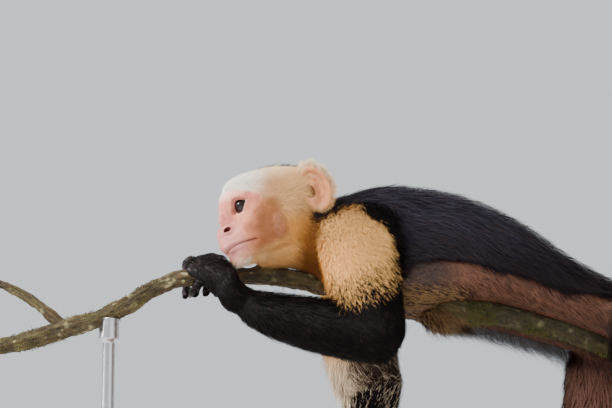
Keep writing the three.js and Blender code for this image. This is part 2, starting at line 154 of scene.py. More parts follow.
def join(a, b, k):
    h = np.maximum(k - np.abs(a - b), 0) / k
    return np.minimum(a, b) - h * h * k / 4


def carve(a, b, k):
    """Takes the solid b away from a."""
    return -join(-a, b, k)


# ---- Forms: signed distances, negative inside -----------------------------------------------------------
FAR = 30.0  # a distance that stands for anything out of reach
LOCATE_AT_ONCE = 200000


def spline(stations, steps):
    """Centripetal Catmull-Rom through the stations."""
    s = np.asarray(stations, float)
    ends = np.vstack([2 * s[0] - s[1], s, 2 * s[-1] - s[-2]])
    out = []
    for i in range(len(s) - 1):
        a, b, c, d = ends[i:i + 4]
        k0, k1, k2 = (max(np.linalg.norm((q - p)[:3]), 1e-6) ** 0.5 for p, q in ((a, b), (b, c), (c, d)))
        m1 = ((b - a) / k0 - (c - a) / (k0 + k1) + (c - b) / k1) * k1
        m2 = ((c - b) / k1 - (d - b) / (k1 + k2) + (d - c) / k2) * k1
        for t in np.arange(steps) / steps:
            out.append(b + m1 * t + (3 * (c - b) - 2 * m1 - m2) * t * t + (2 * (b - c) + m1 + m2) * t ** 3)
    out.append(s[-1])
    return np.array(out)


class Tube:
    """A round-ended tube with an elliptical section. `depth` is the coat's, taken off its size for the skin."""

    def __init__(self, stations, across=(0, 1, 0), power=2.0, depth=0.0, near=5.0, far=3.0, reach=30.0, cap=0.75,
                 name=""):
        full = [s if len(s) == 5 else (*s, s[3]) for s in stations]
        length = sum(np.linalg.norm(np.subtract(q[:3], p[:3])) for p, q in zip(full, full[1:]))
        path = spline(full, max(2, int(round(length / (len(full) - 1) / 4))))
        self.c, self.r = path[:, :3], path[:, 3:5]
        self.t = unit(np.gradient(self.c, axis=0))
        across = np.asarray(across, float)
        self.side = unit(across - (self.t @ across)[:, None] * self.t)
        self.up = np.cross(self.t, self.side)
        self.run = np.append(0, np.cumsum(np.linalg.norm(np.diff(self.c, axis=0), axis=1)))
        self.power, self.depth, self.near, self.far, self.reach, self.cap = power, depth, near, far, reach, cap
        self.name = name
        pad = self.r.max() + 22
        self.low, self.high = self.c.min(0) - pad, self.c.max(0) + pad

    def locate(self, p):
        best = np.empty(len(p), int)
        square = (self.c ** 2).sum(1)
        for at in range(0, len(p), LOCATE_AT_ONCE):
            q = p[at:at + LOCATE_AT_ONCE]
            best[at:at + LOCATE_AT_ONCE] = np.argmin(square - 2 * q @ self.c.T, axis=1)
        rel = p - self.c[best]
        gap = np.gradient(self.run)[best]
        f = np.clip((rel * self.t[best]).sum(1) / gap, -0.5, 0.5)
        f[(best == 0) & (f < 0)] = 0
        f[(best == len(self.c) - 1) & (f > 0)] = 0
        other = np.clip(best + np.where(f < 0, -1, 1), 0, len(self.c) - 1)
        w = np.abs(f)[:, None]

        def mix(a):
            return a[best] * (1 - w) + a[other] * w

        t, side = unit(mix(self.t)), mix(self.side)
        side = unit(side - (side * t).sum(1)[:, None] * t)
        up = np.cross(t, side)
        rel = p - mix(self.c)
        return dict(u=(rel * side).sum(1), v=(rel * up).sum(1), w=(rel * t).sum(1), r=mix(self.r),
                    along=mix(self.run[:, None])[:, 0] / self.run[-1], t=t, side=side, up=up)

    def coat(self, p):
        at = self.locate(p)
        a, b = at["r"].T
        u, v, w = at["u"], at["v"], at["w"]
        c = np.minimum(a, b) * self.cap
        if self.power == 2.0:
            k0 = np.sqrt((u / a) ** 2 + (v / b) ** 2 + (w / c) ** 2)
            k1 = np.sqrt((u / a ** 2) ** 2 + (v / b ** 2) ** 2 + (w / c ** 2) ** 2)
            return k0 * (k0 - 1) / np.maximum(k1, 1e-6), at
        n = self.power
        k0 = (np.abs(u / a) ** n + np.abs(v / b) ** n + np.abs(w / c) ** n) ** (1 / n)
        return np.sqrt(u * u + v * v + w * w) * (1 - 1 / np.maximum(k0, 1e-3)), at

    def field(self, p):
        d, at = self.coat(p)
        return d + (self.depth(p, at) if callable(self.depth) else self.depth)

    def softness(self, p):
        d = ((p - self.c[0]) ** 2).sum(1)
        return self.far + (self.near - self.far) * np.exp(-d / self.reach ** 2)


def ellipsoid(p, x, y, z, a, b, c):
    q = p - np.array([x, y, z])
    k0 = np.linalg.norm(q / np.array([a, b, c]), axis=1)
    k1 = np.linalg.norm(q / np.array([a * a, b * b, c * c]), axis=1)
    return k0 * (k0 - 1) / np.maximum(k1, 1e-9)


def to_line(p, points):
    """Distance to a polyline, and how far along it from 0 to 1."""
    pts = np.asarray(points, float)
    best = np.full(len(p), 1e9)
    along = np.zeros(len(p))
    for i, (a, b) in enumerate(zip(pts, pts[1:])):
        t = np.clip((p - a) @ (b - a) / ((b - a) @ (b - a)), 0, 1)
        d = np.linalg.norm(p - a - t[:, None] * (b - a), axis=1)
        closer = d < best
        best[closer] = d[closer]
        along[closer] = (i + t[closer]) / (len(pts) - 1)
    return best, along


# ---- The head, in its own axes: forward, to its left, up ------------------------------------------------
yaw, pitch = np.radians(HEAD_YAW), np.radians(HEAD_PITCH)
FORWARD = np.array([-np.cos(yaw) * np.cos(pitch), -np.sin(yaw) * np.cos(pitch), -np.sin(pitch)])
LEFT = np.array([np.sin(yaw), -np.cos(yaw), 0.0])
UP = np.cross(FORWARD, LEFT)
HEAD_AXES = np.array([FORWARD, LEFT, UP])
HEAD_AT = np.array(HEAD_AT)
EYE_AT = np.array(EYE_AT)
MIRROR = np.array([1.0, -1.0, 1.0])


def to_head(p):
    return (p - HEAD_AT) @ HEAD_AXES.T


def from_head(h):
    return np.asarray(h, float) @ HEAD_AXES + HEAD_AT


def folded(h):
    """The left half of the head stands for both."""
    return np.column_stack([h[:, 0], np.abs(h[:, 1]), h[:, 2]])


GAZE_OUT = 14.0
LID_TILT = 24.0
LID = dict(half=7.8, upper=4.9, lower=4.2)
EYE_OUT = unit(rotate(np.array([1.0, 0, -0.06]), (0, 0, 1), GAZE_OUT))
EYE_SIDE = unit(np.cross((0, 0, 1), EYE_OUT))
EYE_SIDE = rotate(EYE_SIDE, EYE_OUT, LID_TILT)
EYE_UP = np.cross(EYE_OUT, EYE_SIDE)
MOUTH_LINE = ([0, 4, 9, 14, 18], [-27.6, -26.0, -23.8, -23.0, -23.6])  # its height by how far out it is
NOSTRIL = (67.4, 8.6, -9.9)


def over_mouth(h):
    """Height over the line between the lips."""
    return h[:, 2] - np.interp(np.abs(h[:, 1]), *MOUTH_LINE)


def jaw_fold(h):
    """Below 1 inside the pale fold over the jaw."""
    return ((h[:, 0] - 33) / 4.6) ** 2 + ((h[:, 2] + 19) / 9.5) ** 2


def frown_line(f):
    """Distance from the crease beside the bridge of the nose, and where that crease may show."""
    show = step(f[:, 0], 54, 58) * step(f[:, 2], -5, 0) * step(f[:, 2], 14, 10)
    return f[:, 1] - 4.6 - 0.14 * (9 - f[:, 2]), show


def nostril(f, *size):
    return ellipsoid(rotate(f - NOSTRIL, (1, 0, 0), -24), 0, 0, 0, *size)


def eye_parts(h):
    """For a folded head point: distance from the eyeball's centre, and how far out of the lids' almond it is."""
    q = h - EYE_AT
    x, y, z = q @ EYE_SIDE, q @ EYE_UP, q @ EYE_OUT
    tall = np.where(y > 0, LID["upper"], LID["lower"])
    s = np.clip(x / LID["half"], -1.4, 1.4)
    rim = tall * (1 - np.abs(s) ** 2.1)
    return np.linalg.norm(q, axis=1), np.abs(y) - rim, x, y, z


SKULL_FORMS = [
    (42, 0, 16, 15.5, 20, 14), (43, 0, -4, 15, 28, 24), (56, 0, 1, 7.5, 6.5, 13), (53, 0, -19, 16.5, 16.5, 13),
    (54.5, 0, -30, 12.5, 13, 12.5), (20, 0, -32, 34, 24, 21),
]


def skull(h):
    """The head's coat form, as the CAD's, with the face's own forms."""
    f = folded(h)
    d = ellipsoid(h, 17, 0, 4, 41.5, 30.5, 27.5)
    for form in SKULL_FORMS:
        d = join(d, ellipsoid(h, *form), 6)
    return join(d, ellipsoid(f, 25, 16, -14, 25, 17, 24), 6)


def bump(x, at, wide):
    return np.exp(-((x - at) / wide) ** 2)


def face(h):
    """The skin of the head, with nose, lids, lips and folds."""
    f = folded(h)
    ahead, aside, up = f.T
    d = skull(h)
    # a hollow round the eye, a brow over it, a filled glabella and a pad of cheek below
    d = carve(d, ellipsoid(f, 64, 14.6, 5.0, 11.5, 8.2, 5.6), 7)
    d = join(d, ellipsoid(f, 50.5, 11.5, 12.6, 6.0, 10.0, 4.6), 6)
    d = join(d, ellipsoid(h, 56.3, 0, 4.5, 7.4, 8.5, 9), 5)
    d = join(d, ellipsoid(f, 50, 19, -9, 7.5, 8, 6.5), 5)
    # nose: bridge, tip, wings, nostrils that open sideways, and the full upper lip under them
    d = join(d, ellipsoid(h, 63.0, 0, -3, 5.2, 3.8, 8), 3)
    d = join(d, ellipsoid(h, 68.9, 0, -12.2, 4.3, 4.9, 4.2), 2.5)
    d = join(d, ellipsoid(f, 65.0, 5.7, -10.6, 5.2, 4.4, 4.4), 2)
    d = join(d, ellipsoid(h, 60.5, 0, -17.5, 11.5, 10, 7.5), 5)
    d = join(d, ellipsoid(h, 66.0, 0, -21.8, 7.3, 8.0, 5.6), 4)
    d = carve(d, nostril(f, 2.9, 3.6, 1.7), 0.8)
    d = join(d, ellipsoid(h, 61.5, 0, -34, 6.2, 8, 6.2), 4)
    # the mouth's line between its lips
    over = over_mouth(h)
    ends = step(aside, 18, 15) * step(ahead, 42, 47) * (0.3 + 0.7 * step(aside, 2, 6))
    d = d - ends * (0.7 * bump(over, 2.3, 1.7) + 0.9 * bump(over, -2.4, 1.8) * step(aside, 17, 9))
    d = d + ends * 0.85 * bump(over, 0, 0.85)
    d = d + 0.5 * bump(np.hypot(aside - 17.4, over), 0, 1.6) * step(ahead, 42, 47)
    # the groove from the nose's wing to the cheek, and the pale fold over the jaw
    wing = np.hypot(aside - 8.5, (up + 9.5) * 0.9) - 4.6
    d = d + 0.35 * bump(wing, 0, 1.0) * step(ahead, 58, 62)
    fold = jaw_fold(h)
    d = d - 0.3 * bump(fold, 0.4, 0.5) + 0.5 * bump(fold, 1.5, 0.4)
    # lids: a shell over the eyeball, then the opening between them
    rho, almond, x, y, z = eye_parts(f)
    before = z > 0
    d = join(d, np.where(before, rho - (EYE_RADIUS + 1.15), 9), 2.2)
    for offset, deep, wide in ((2.5, 0.55, 0.5), (-2.6, 0.4, 0.55), (-4.4, 0.25, 0.5)):
        own = (y > 0) if offset > 0 else (y < 0)
        ring = bump(almond, abs(offset), wide) * own * step(rho, 22, 14) * step(np.abs(x), 9.5, 5) * before
        d = d + deep * ring
    flare = almond - 1.2 * np.clip(rho - EYE_RADIUS - 1.25, 0, 2.2)
    opening = np.maximum.reduce([flare, EYE_RADIUS - 0.9 - rho, 1.0 - z, z - 17])
    d = carve(d, opening, 0.7)
    # creases of the brow and the bridge of the nose
    ridge, frown = frown_line(f)
    d = d - frown * (0.35 * bump(ridge, 0, 1.2) - 0.4 * bump(ridge, -2.2, 0.9) - 0.25 * bump(ridge, 2.2, 1.0))
    crease = np.sin(up * 1.25 + noise(h, 6, 3) * 1.6 + aside * 0.35)
    middle = step(ahead, 54, 58) * step(aside, 4, 1.5) * step(up, -6, 0) * step(up, 18, 12)
    d = d + 0.2 * crease * middle
    lines = np.sin(rho * 2.1 + noise(h, 5, 9) * 1.4) * step(rho, 12.5, 14) * step(rho, 20, 16) * step(aside, 15, 19)
    return d + 0.1 * lines + 0.14 * noise(h, 2.2, 8) * step(ahead, 30, 40)


# How far forward hair reaches on the face, by height.
HAIRLINE = (
    [-45, -38.3, -35, -33, -31, -27.8, -19, -11, -7, 0, 9, 14, 18, 21],
    [62, 58, 53, 43, 34, 26, 23, 24, 31, 35, 35, 42, 50, 60],
)


def head_depth(h):
    """How deep the coat is on the head: none on the face, most on crown, ruff and throat."""
    bare = face_mask(h)
    deep = 4.2 + 1.6 * step(h[:, 0], 30, -5) + 1.2 * step(h[:, 2], -12, -34)
    deep = deep + (2.0 - deep) * near_face(h)
    return deep * (1 - bare) + 1.3 * bare * step(h[:, 0], 52, 40)


def face_mask(h):
    """1 on the bare face, 0 where long hair grows."""
    edge = np.interp(h[:, 2], *HAIRLINE)
    return step(h[:, 0] + 1.5 * noise(h, 7, 5), edge - 3, edge + 7)


def near_face(h):
    """1 where the hair next to the bare face is still short."""
    edge = np.interp(h[:, 2], *HAIRLINE)
    return step(h[:, 0], edge - 18, edge - 2)


class Head:
    """Skull, face and neck's start as one form."""

    name = "head"
    low, high = HEAD_AT - 108, HEAD_AT + 108

    def field(self, p):
        h = to_head(p)
        d = np.full(len(p), FAR)
        near = ellipsoid(h, 22, 0, -8, 62, 42, 50) < 14
        q = h[near]
        d[near] = face(q) + head_depth(q)
        return d

    def softness(self, p):
        return np.full(len(p), 9.0)


EAR = dict(at=(-5.5, 32.5, 0.0), wide=11.6, tall=18.2, deep=5.5, flare=34.0, lean=5.0)


def ear_axes():
    n = rotate(np.array([0.0, 1.0, 0.0]), (0, 0, 1), -EAR["flare"])
    back = rotate(np.array([-1.0, 0.0, 0.0]), (0, 0, 1), -EAR["flare"])
    up = np.array([0.0, 0.0, 1.0])
    turn = rotate(np.array([back, up]), n, EAR["lean"])
    return np.array([turn[0], turn[1], n])


EAR_AXES = ear_axes()


class Ears:
    """Cupped ears with a rolled rim, an inner fold, a deep hollow and a small flap before it."""

    name = "ear"
    low, high = HEAD_AT - 85, HEAD_AT + 85

    def field(self, p):
        h = folded(to_head(p))
        q = (h - np.array(EAR["at"])) @ EAR_AXES.T  # back, up, out
        d = np.full(len(p), FAR)
        near = np.linalg.norm(q, axis=1) < 34
        q = q[near]
        w, t = EAR["wide"], EAR["tall"]
        shell = ellipsoid(q, 0.5, 0, -0.6, w - 0.6, t - 0.6, EAR["deep"] - 0.9)
        bowl = ellipsoid(q, -0.5, 0, 3.6, w * 0.8, t * 0.82, 5.2)
        e = carve(shell, bowl, 1.6)
        around = np.arctan2(q[:, 1] / t, q[:, 0] / w)
        ring = np.hypot(np.hypot(q[:, 0] / w, q[:, 1] / t) * 15 - 13.6, q[:, 2] - 0.6 - 1.2 * step(q[:, 1], -6, 10))
        e = join(e, ring - 1.5 * step(-q[:, 0], 10, 3) - 0.35, 1.4)
        fold = to_line(q, [(-1, 11, 0.2), (4.2, 7, -0.2), (5.6, 0, -0.6), (3.6, -7, -0.6)])[0]
        e = join(e, fold - 1.35, 1.6)
        root = ellipsoid(h[near], -3, 26.5, -3, 7.0, 9.0, 11.5)
        e = join(e, root, 4)
        e = carve(e, ellipsoid(q, -4.6, -1.4, 0.8, 3.8, 5.6, 4.4), 1.6)
        e = join(e, ellipsoid(q, -9.2, -2.6, 0.6, 2.2, 3.6, 2.4), 1.5)
        e = e + 0.25 * np.sin(around * 9) * np.exp(-(ring / 3) ** 2)
        d[near] = e
        return d

    def softness(self, p):
        return np.full(len(p), 3.2)


# ---- Hands and feet -------------------------------------------------------------------------------------
def branch_at(x):
    s = np.array(BRANCH, float)
    return tuple(np.interp(x, s[:, 0], s[:, k]) for k in (1, 2, 3))


def around(start, end, x0, x1, size, count):
    """Points on an arc round the branch: 90 degrees is on top, 0 on the right, -90 underneath."""
    out = []
    for t in np.linspace(0, 1, count):
        x = x0 + t * (x1 - x0)
        y, z, r = branch_at(x)
        a = np.radians(start + t * (end - start))
        out.append((x, y + (r + size + 1) * np.cos(a), z + (r + size + 1) * np.sin(a)))
    return out


def digit(points, size, name, across=(0, 1, 0)):
    """A finger or toe, narrowing evenly from its base to its tip."""
    n = len(points) - 1
    stations = [(*p, size[0] + (size[1] - size[0]) * i / n) for i, p in enumerate(points)]
    return Tube(stations, across=across, depth=0.35, near=3.0, far=1.2, reach=14, cap=0.9, name=name)


TIPS = []  # for each digit: the tip's centre, the way it points, the way its nail faces, its radius


def gripping_hand():
    parts = [Tube(PALM_LEFT, across=unit((0.6, -0.2, -0.75)), depth=0.6, near=6, far=2, reach=20, name="hand_left")]
    for x, bend in zip((-165, -157, -148.5, -140), (-62, -84, -84, -70)):
        pts = [(x + 3, -9, 15)] + around(88, bend, x, x - 1.5, FINGER[0], 5)
        parts.append(digit(pts, FINGER, "hand_left", (1, 0, 0)))
        add_tip(pts, FINGER, out_from=branch_at(x)[:2])
    pts = [(-138, -22, -2)] + around(172, 262, -150, -161, FINGER[0], 4)
    parts.append(digit(pts, FINGER, "hand_left", (1, 0, 0)))
    add_tip(pts, FINGER, out_from=branch_at(-161)[:2])
    return parts


def add_tip(pts, size, out_from=None, back=None):
    a, b = np.array(pts[-2], float), np.array(pts[-1], float)
    way = unit(b - a)
    if out_from is not None:
        face_to = np.array([0, b[1] - out_from[0], b[2] - out_from[1]])
    else:
        face_to = np.array(back, float)
    face_to = unit(face_to - (face_to @ way) * way)
    TIPS.append((b, way, face_to, size[1]))


def hanging(palm, heel, knuckles, spread, curl, size, thumb, name):
    parts = [Tube(palm, depth=0.6, near=6, far=2, reach=20, name=name)]
    ahead = unit(np.subtract(knuckles, heel))
    nail_side = rotate(ahead, (0, 1, 0), 90)
    for i in range(4):
        aside = (i - 1.5) * spread
        reach = size[2] * (0.88, 1, 0.97, 0.8)[i]
        pts = []
        for t in (0, 0.5, 1):
            way = rotate(ahead, (0, 1, 0), curl * t)
            pts.append(np.array(knuckles) + (0, aside * (1 + 0.25 * t), 0) + way * (reach * t - 3))
        parts.append(digit(pts, size, name))
        add_tip(pts, size, back=rotate(nail_side, (0, 1, 0), curl))
    parts.append(digit(thumb, size, name, (1, 0, 0)))
    add_tip(thumb, size, back=nail_side)
    return parts


def foot(sole, inner, name):
    mid, toe = np.array(sole[2][:3], float), np.array(sole[3][:3], float)
    thumb = [(mid[0] - 2 - 8 * i, mid[1] + inner * (8 + 7 * i - i * i), mid[2] - 3 - 7 * i) for i in range(4)]
    return hanging(sole, mid, toe, 8, -38, TOE, thumb, name)


# ---- The whole animal -----------------------------------------------------------------------------------
def trunk_depth(p, at):
    """Deep coat on the back, almost none on the bare flank and belly."""
    return 2.0 + 6.0 * step(at["v"], *flank_line(p[:, 0], at["r"][:, 1]))


def flank_line(x, b):
    """Where bare flank turns to black coat, as a height in the trunk's section."""
    share = np.interp(x, [-10, 8, 45, 100, 130, 152, 175, 200], [-0.8, -0.36, -0.42, -0.36, -0.22, -0.02, 0.1, 0.0])
    return share * b - 3, share * b + 5


ROLLED = rotate(np.array([0.0, 1.0, 0.0]), (1, 0, 0), -TRUNK_ROLL)
PARTS = [
    Tube(TRUNK, across=ROLLED, power=2.5, depth=trunk_depth, cap=0.62, near=10, far=10, name="trunk"),
    Tube(FLANK_SAG, depth=3.0, near=16, far=16, name="sag"),
    Tube(NECK, depth=7.0, near=18, far=16, reach=60, name="neck"),
    Tube(TAIL, depth=5.5, near=12, far=2, reach=25, name="tail"),
    Tube(UPPER_ARM_LEFT, depth=7.0, near=14, far=4, reach=52, name="upper_arm_left"),
    Tube(UPPER_ARM_RIGHT, depth=7.0, near=14, far=4, reach=52, name="upper_arm_right"),
    Tube(FOREARM_LEFT, depth=6.5, near=10, far=1.5, reach=26, name="forearm_left"),
    Tube(FOREARM_RIGHT, depth=6.5, near=10, far=2, reach=26, name="forearm_right"),
    Tube(THIGH_LEFT, depth=7.0, near=18, far=4, reach=55, name="thigh_left"),
    Tube(THIGH_RIGHT, depth=7.0, near=18, far=4, reach=55, name="thigh_right"),
    Tube(SHANK_LEFT, depth=5.5, near=10, far=3, reach=26, name="shank_left"),
    Tube(SHANK_RIGHT, depth=5.5, near=10, far=3, reach=26, name="shank_right"),
    *foot(SOLE_LEFT, 1, "foot_left"),
    *foot(SOLE_RIGHT, -1, "foot_right"),
    *hanging(PALM_RIGHT, (-44, 39, -204), (-54, 37, -240), 8, -34, FINGER,
             [(-47, 30, -214), (-55, 23, -226), (-62, 19, -238), (-66, 18, -248)], "hand_right"),
    Head(),
    Ears(),
    *gripping_hand(),
]
BRANCH_TUBE = Tube(BRANCH, cap=0.15, name="branch")
CONTACT = 0.5  # the skin stays this far off the branch


def in_box(part, p):
    """Which of the points lie in the part's box."""
    return np.flatnonzero(np.all((p > part.low) & (p < part.high), axis=1))


def field(p):
    """Distance from the animal's skin, which keeps off the branch."""
    d = np.full(len(p), FAR)
    for part in PARTS:
        near = in_box(part, p)
        if len(near):
            q = p[near]
            d[near] = join(d[near], part.field(q), part.softness(q))
    near = in_box(BRANCH_TUBE, p)
    if len(near):
        d[near] = carve(d[near], BRANCH_TUBE.coat(p[near])[0] - CONTACT, 2.0)
    return d


def gradient(p, e=0.25):
    g = np.zeros_like(p)
    for k in ((1, -1, -1), (-1, -1, 1), (-1, 1, -1), (1, 1, 1)):
        k = np.array(k, float)
        g += field(p + k * e)[:, None] * k
    return g / (4 * e)


def onto(p, rounds=3, most=2.5):
    """Moves points to the skin along the field's slope."""
    for _ in range(rounds):
        g = gradient(p)
        move = field(p)[:, None] * g / np.maximum((g * g).sum(1), 0.15)[:, None]
        far = np.maximum(np.linalg.norm(move, axis=1) / most, 1)[:, None]
        p = p - move / far
    return p


def sample_grid(fine, coarse_times=4):
    """The field on a grid of `fine` mm, worked out in full only near the skin, and the grid's corner."""
    low = np.min([s.low for s in PARTS if isinstance(s, Tube)], axis=0) + 12
    low = np.minimum(low, HEAD_AT - 70)
    high = np.max([s.high for s in PARTS if isinstance(s, Tube)], axis=0) - 12
    high = np.maximum(high, HEAD_AT + (0, 60, 55))
    count = (np.ceil((high - low) / (fine * coarse_times)).astype(int)) * coarse_times + 1
    coarse = [low[k] + np.arange(0, count[k], coarse_times) * fine for k in range(3)]
    pts = np.stack(np.meshgrid(*coarse, indexing="ij"), -1).reshape(-1, 3)
    rough = field(pts).reshape([len(c) for c in coarse])
    near = np.abs(rough) < fine * coarse_times * 1.35
    hot = np.zeros([s - 1 for s in near.shape], bool)
    for corner in range(8):
        i, j, k = corner & 1, corner >> 1 & 1, corner >> 2 & 1
        hot |= near[i:near.shape[0] - 1 + i, j:near.shape[1] - 1 + j, k:near.shape[2] - 1 + k]
    d = np.repeat(np.repeat(np.repeat(rough, coarse_times, 0), coarse_times, 1), coarse_times, 2)
    d = d[:count[0], :count[1], :count[2]].copy()
    mask = np.zeros(count, bool)
    for i, j, k in np.argwhere(hot) * coarse_times:
        mask[i:i + coarse_times + 1, j:j + coarse_times + 1, k:k + coarse_times + 1] = True
    at = np.argwhere(mask)
    d[mask] = field(low + at * fine)
    return d, low


def triangles(quads):
    return np.concatenate([quads[:, [0, 1, 2]], quads[:, [0, 2, 3]]])


def edges(f):
    return np.concatenate([f[:, [0, 1]], f[:, [1, 2]], f[:, [2, 0]]])


def slants(v, f):
    """Each triangle's normal, twice its area long."""
    a, b, c = v[f[:, 0]], v[f[:, 1]], v[f[:, 2]]
    return np.cross(b - a, c - a)


def vertex_normals(v, f):
    fn = slants(v, f)
    n = np.zeros_like(v)
    for k in range(3):
        for axis in range(3):
            n[:, axis] += np.bincount(f[:, k], fn[:, axis], len(v))
    return unit(n)


def surface_nets(d, low, fine):
    """A mesh where the grid's field is 0: a point in each cell that the surface crosses."""
    inside = d < 0
    s = [n - 1 for n in d.shape]
    corners = [(i, j, k) for i in (0, 1) for j in (0, 1) for k in (0, 1)]

    def at(a, c):
        return a[c[0]:s[0] + c[0], c[1]:s[1] + c[1], c[2]:s[2] + c[2]]

    total = sum(at(inside, c).astype(np.int8) for c in corners)
    active = (total > 0) & (total < 8)
    cells = np.argwhere(active)
    ids = np.full(s, -1)
    ids[active] = np.arange(len(cells))
    value = {c: at(d, c)[active] for c in corners}
    place, number = np.zeros((len(cells), 3)), np.zeros(len(cells))
    for axis in range(3):
        for c in corners:
            if c[axis]:
                continue
            e = list(c)
            e[axis] = 1
            a, b = value[c], value[tuple(e)]
            cross = (a < 0) != (b < 0)
            t = np.where(cross, a / np.where(cross, a - b, 1), 0)
            point = np.tile(np.array(c, float), (len(cells), 1))
            point[:, axis] += t
            place += point * cross[:, None]
            number += cross
    verts = low + (cells + place / number[:, None]) * fine
    quads = []
    for axis in range(3):
        o1, o2 = [k for k in range(3) if k != axis]
        a = [slice(1, -1)] * 3
        a[axis] = slice(0, -1)
        b = list(a)
        b[axis] = slice(1, None)
        cross = inside[tuple(a)] != inside[tuple(b)]
        flip = inside[tuple(b)][cross]
        base = np.argwhere(cross)
        base[:, o1] += 1
        base[:, o2] += 1
        ring = []
        for m, n in ((1, 1), (0, 1), (0, 0), (1, 0)):
            q = base.copy()
            q[:, o1] -= m
            q[:, o2] -= n
            ring.append(ids[q[:, 0], q[:, 1], q[:, 2]])
        ring = np.stack(ring, 1)
        swap = flip if axis != 1 else ~flip
        ring[swap] = ring[swap][:, ::-1]
        quads.append(ring)
    quads = np.concatenate(quads)
    d1 = np.linalg.norm(verts[quads[:, 0]] - verts[quads[:, 2]], axis=1)
    d2 = np.linalg.norm(verts[quads[:, 1]] - verts[quads[:, 3]], axis=1)
    quads[d1 > d2] = np.roll(quads[d1 > d2], 1, axis=1)
    return verts, triangles(quads)


def refine(v, f, wish):
    """Splits every edge longer than the wish at its middle, and puts the new points on the skin."""
    e = np.sort(edges(f), axis=1)
    keys, inverse = np.unique(e[:, 0] * len(v) + e[:, 1], return_inverse=True)
    a, b = keys // len(v), keys % len(v)
    mid = (v[a] + v[b]) / 2
    long = np.linalg.norm(v[a] - v[b], axis=1) > wish(mid)
    new = np.full(len(keys), -1)
    new[long] = len(v) + np.arange(long.sum())
    v = np.vstack([v, onto(mid[long], 2)])
    m = new[inverse].reshape(3, -1).T
    out = [f[(m < 0).all(1)]]
    flags = m >= 0
    count = flags.sum(1)
    for turn in range(3):
        ff, mm = np.roll(f, -turn, 1), np.roll(m, -turn, 1)
        g = np.roll(flags, -turn, 1)
        one = (count == 1) & g[:, 0]
        p, q = ff[one], mm[one]
        out += [np.stack([p[:, 0], q[:, 0], p[:, 2]], 1), np.stack([q[:, 0], p[:, 1], p[:, 2]], 1)]
        two = (count == 2) & ~g[:, 2]
        p, q = ff[two], mm[two]
        out += [np.stack([q[:, 0], p[:, 1], q[:, 1]], 1), np.stack([p[:, 0], q[:, 0], q[:, 1]], 1),
                np.stack([p[:, 0], q[:, 1], p[:, 2]], 1)]
    three = count == 3
    p, q = f[three], m[three]
    out += [np.stack([p[:, 0], q[:, 0], q[:, 2]], 1), np.stack([q[:, 0], p[:, 1], q[:, 1]], 1),
            np.stack([q[:, 2], q[:, 1], p[:, 2]], 1), q]
    return v, np.concatenate(out)


def fineness(p):
    """Longest edge wanted at a place on the skin."""
    h = to_head(p)
    wish = np.full(len(p), 4.8)
    head = (h[:, 0] > -30) & (np.abs(h[:, 1]) < 50) & (np.abs(h[:, 2]) < 50)
    wish[head] = 2.4
    e = np.linalg.norm(folded(h) - EYE_AT, axis=1)
    front = (h[:, 0] > 44) & (np.abs(h[:, 2] + 10) < 34)
    wish[front] = 1.5
    wish[e < 14.5] = 1.0
    mouth = np.abs(over_mouth(h))
    wish[(mouth < 2.5) & (h[:, 0] > 44) & (np.abs(h[:, 1]) < 20)] = 0.9
    wish[(mouth < 1.2) & (h[:, 0] > 46) & (np.abs(h[:, 1]) < 18)] = 0.7
    wish[(h[:, 0] > 55) & (np.abs(h[:, 1]) < 10) & (np.abs(h[:, 2] - 6) < 12)] = 0.9
    wish[np.linalg.norm(folded(h) - (68, 6, -12), axis=1) < 6] = 0.9
    ear = np.linalg.norm(folded(h) - np.array(EAR["at"]), axis=1)
    wish[ear < 23] = 1.5
    return wish


CREASED = 0.45  # least agreement of a triangle's slant with its points' normals


def mend(v, f, rounds=5):
    """Draws the points of creased-over triangles towards the middle of their neighbours."""
    ends = edges(f)
    count = np.bincount(ends[:, 0], minlength=len(v))[:, None]
    for _ in range(rounds):
        agree = np.einsum("ij,ikj->ik", unit(slants(v, f)), vertex_normals(v, f)[f])
        bad = np.zeros(len(v), bool)
        bad[f[(agree < CREASED).any(1)]] = True
        mean = np.stack([np.bincount(ends[:, 0], v[ends[:, 1], k], len(v)) for k in range(3)], 1) / count
        v = np.where(bad[:, None], v + 0.7 * (mean - v), v)
    return v


GRID, GRID_QUICK = 2.1, 3.0


def make_skin():
    fine = GRID
    d, low = sample_grid(fine)
    v, f = surface_nets(d, low, fine)
    v = onto(v, 3)
    for _ in range(3):
        v, f = refine(v, f, fineness)
    return mend(onto(v, 1), f), f


# ---- Blender helpers ------------------------------------------------------------------------------------
def srgb(*c):
    c = np.array(c, float) / 255
    return np.where(c <= 0.04045, c / 12.92, ((c + 0.055) / 1.055) ** 2.4)


def flat(colour, count):
    return np.tile(srgb(*colour), (count, 1))


def paint(base, *coats):
    """Lays colours over each other in turn: each is a colour and how much of it covers what is below."""
    for colour, share in coats:
        base = blend(base, srgb(*colour), share)
    return base


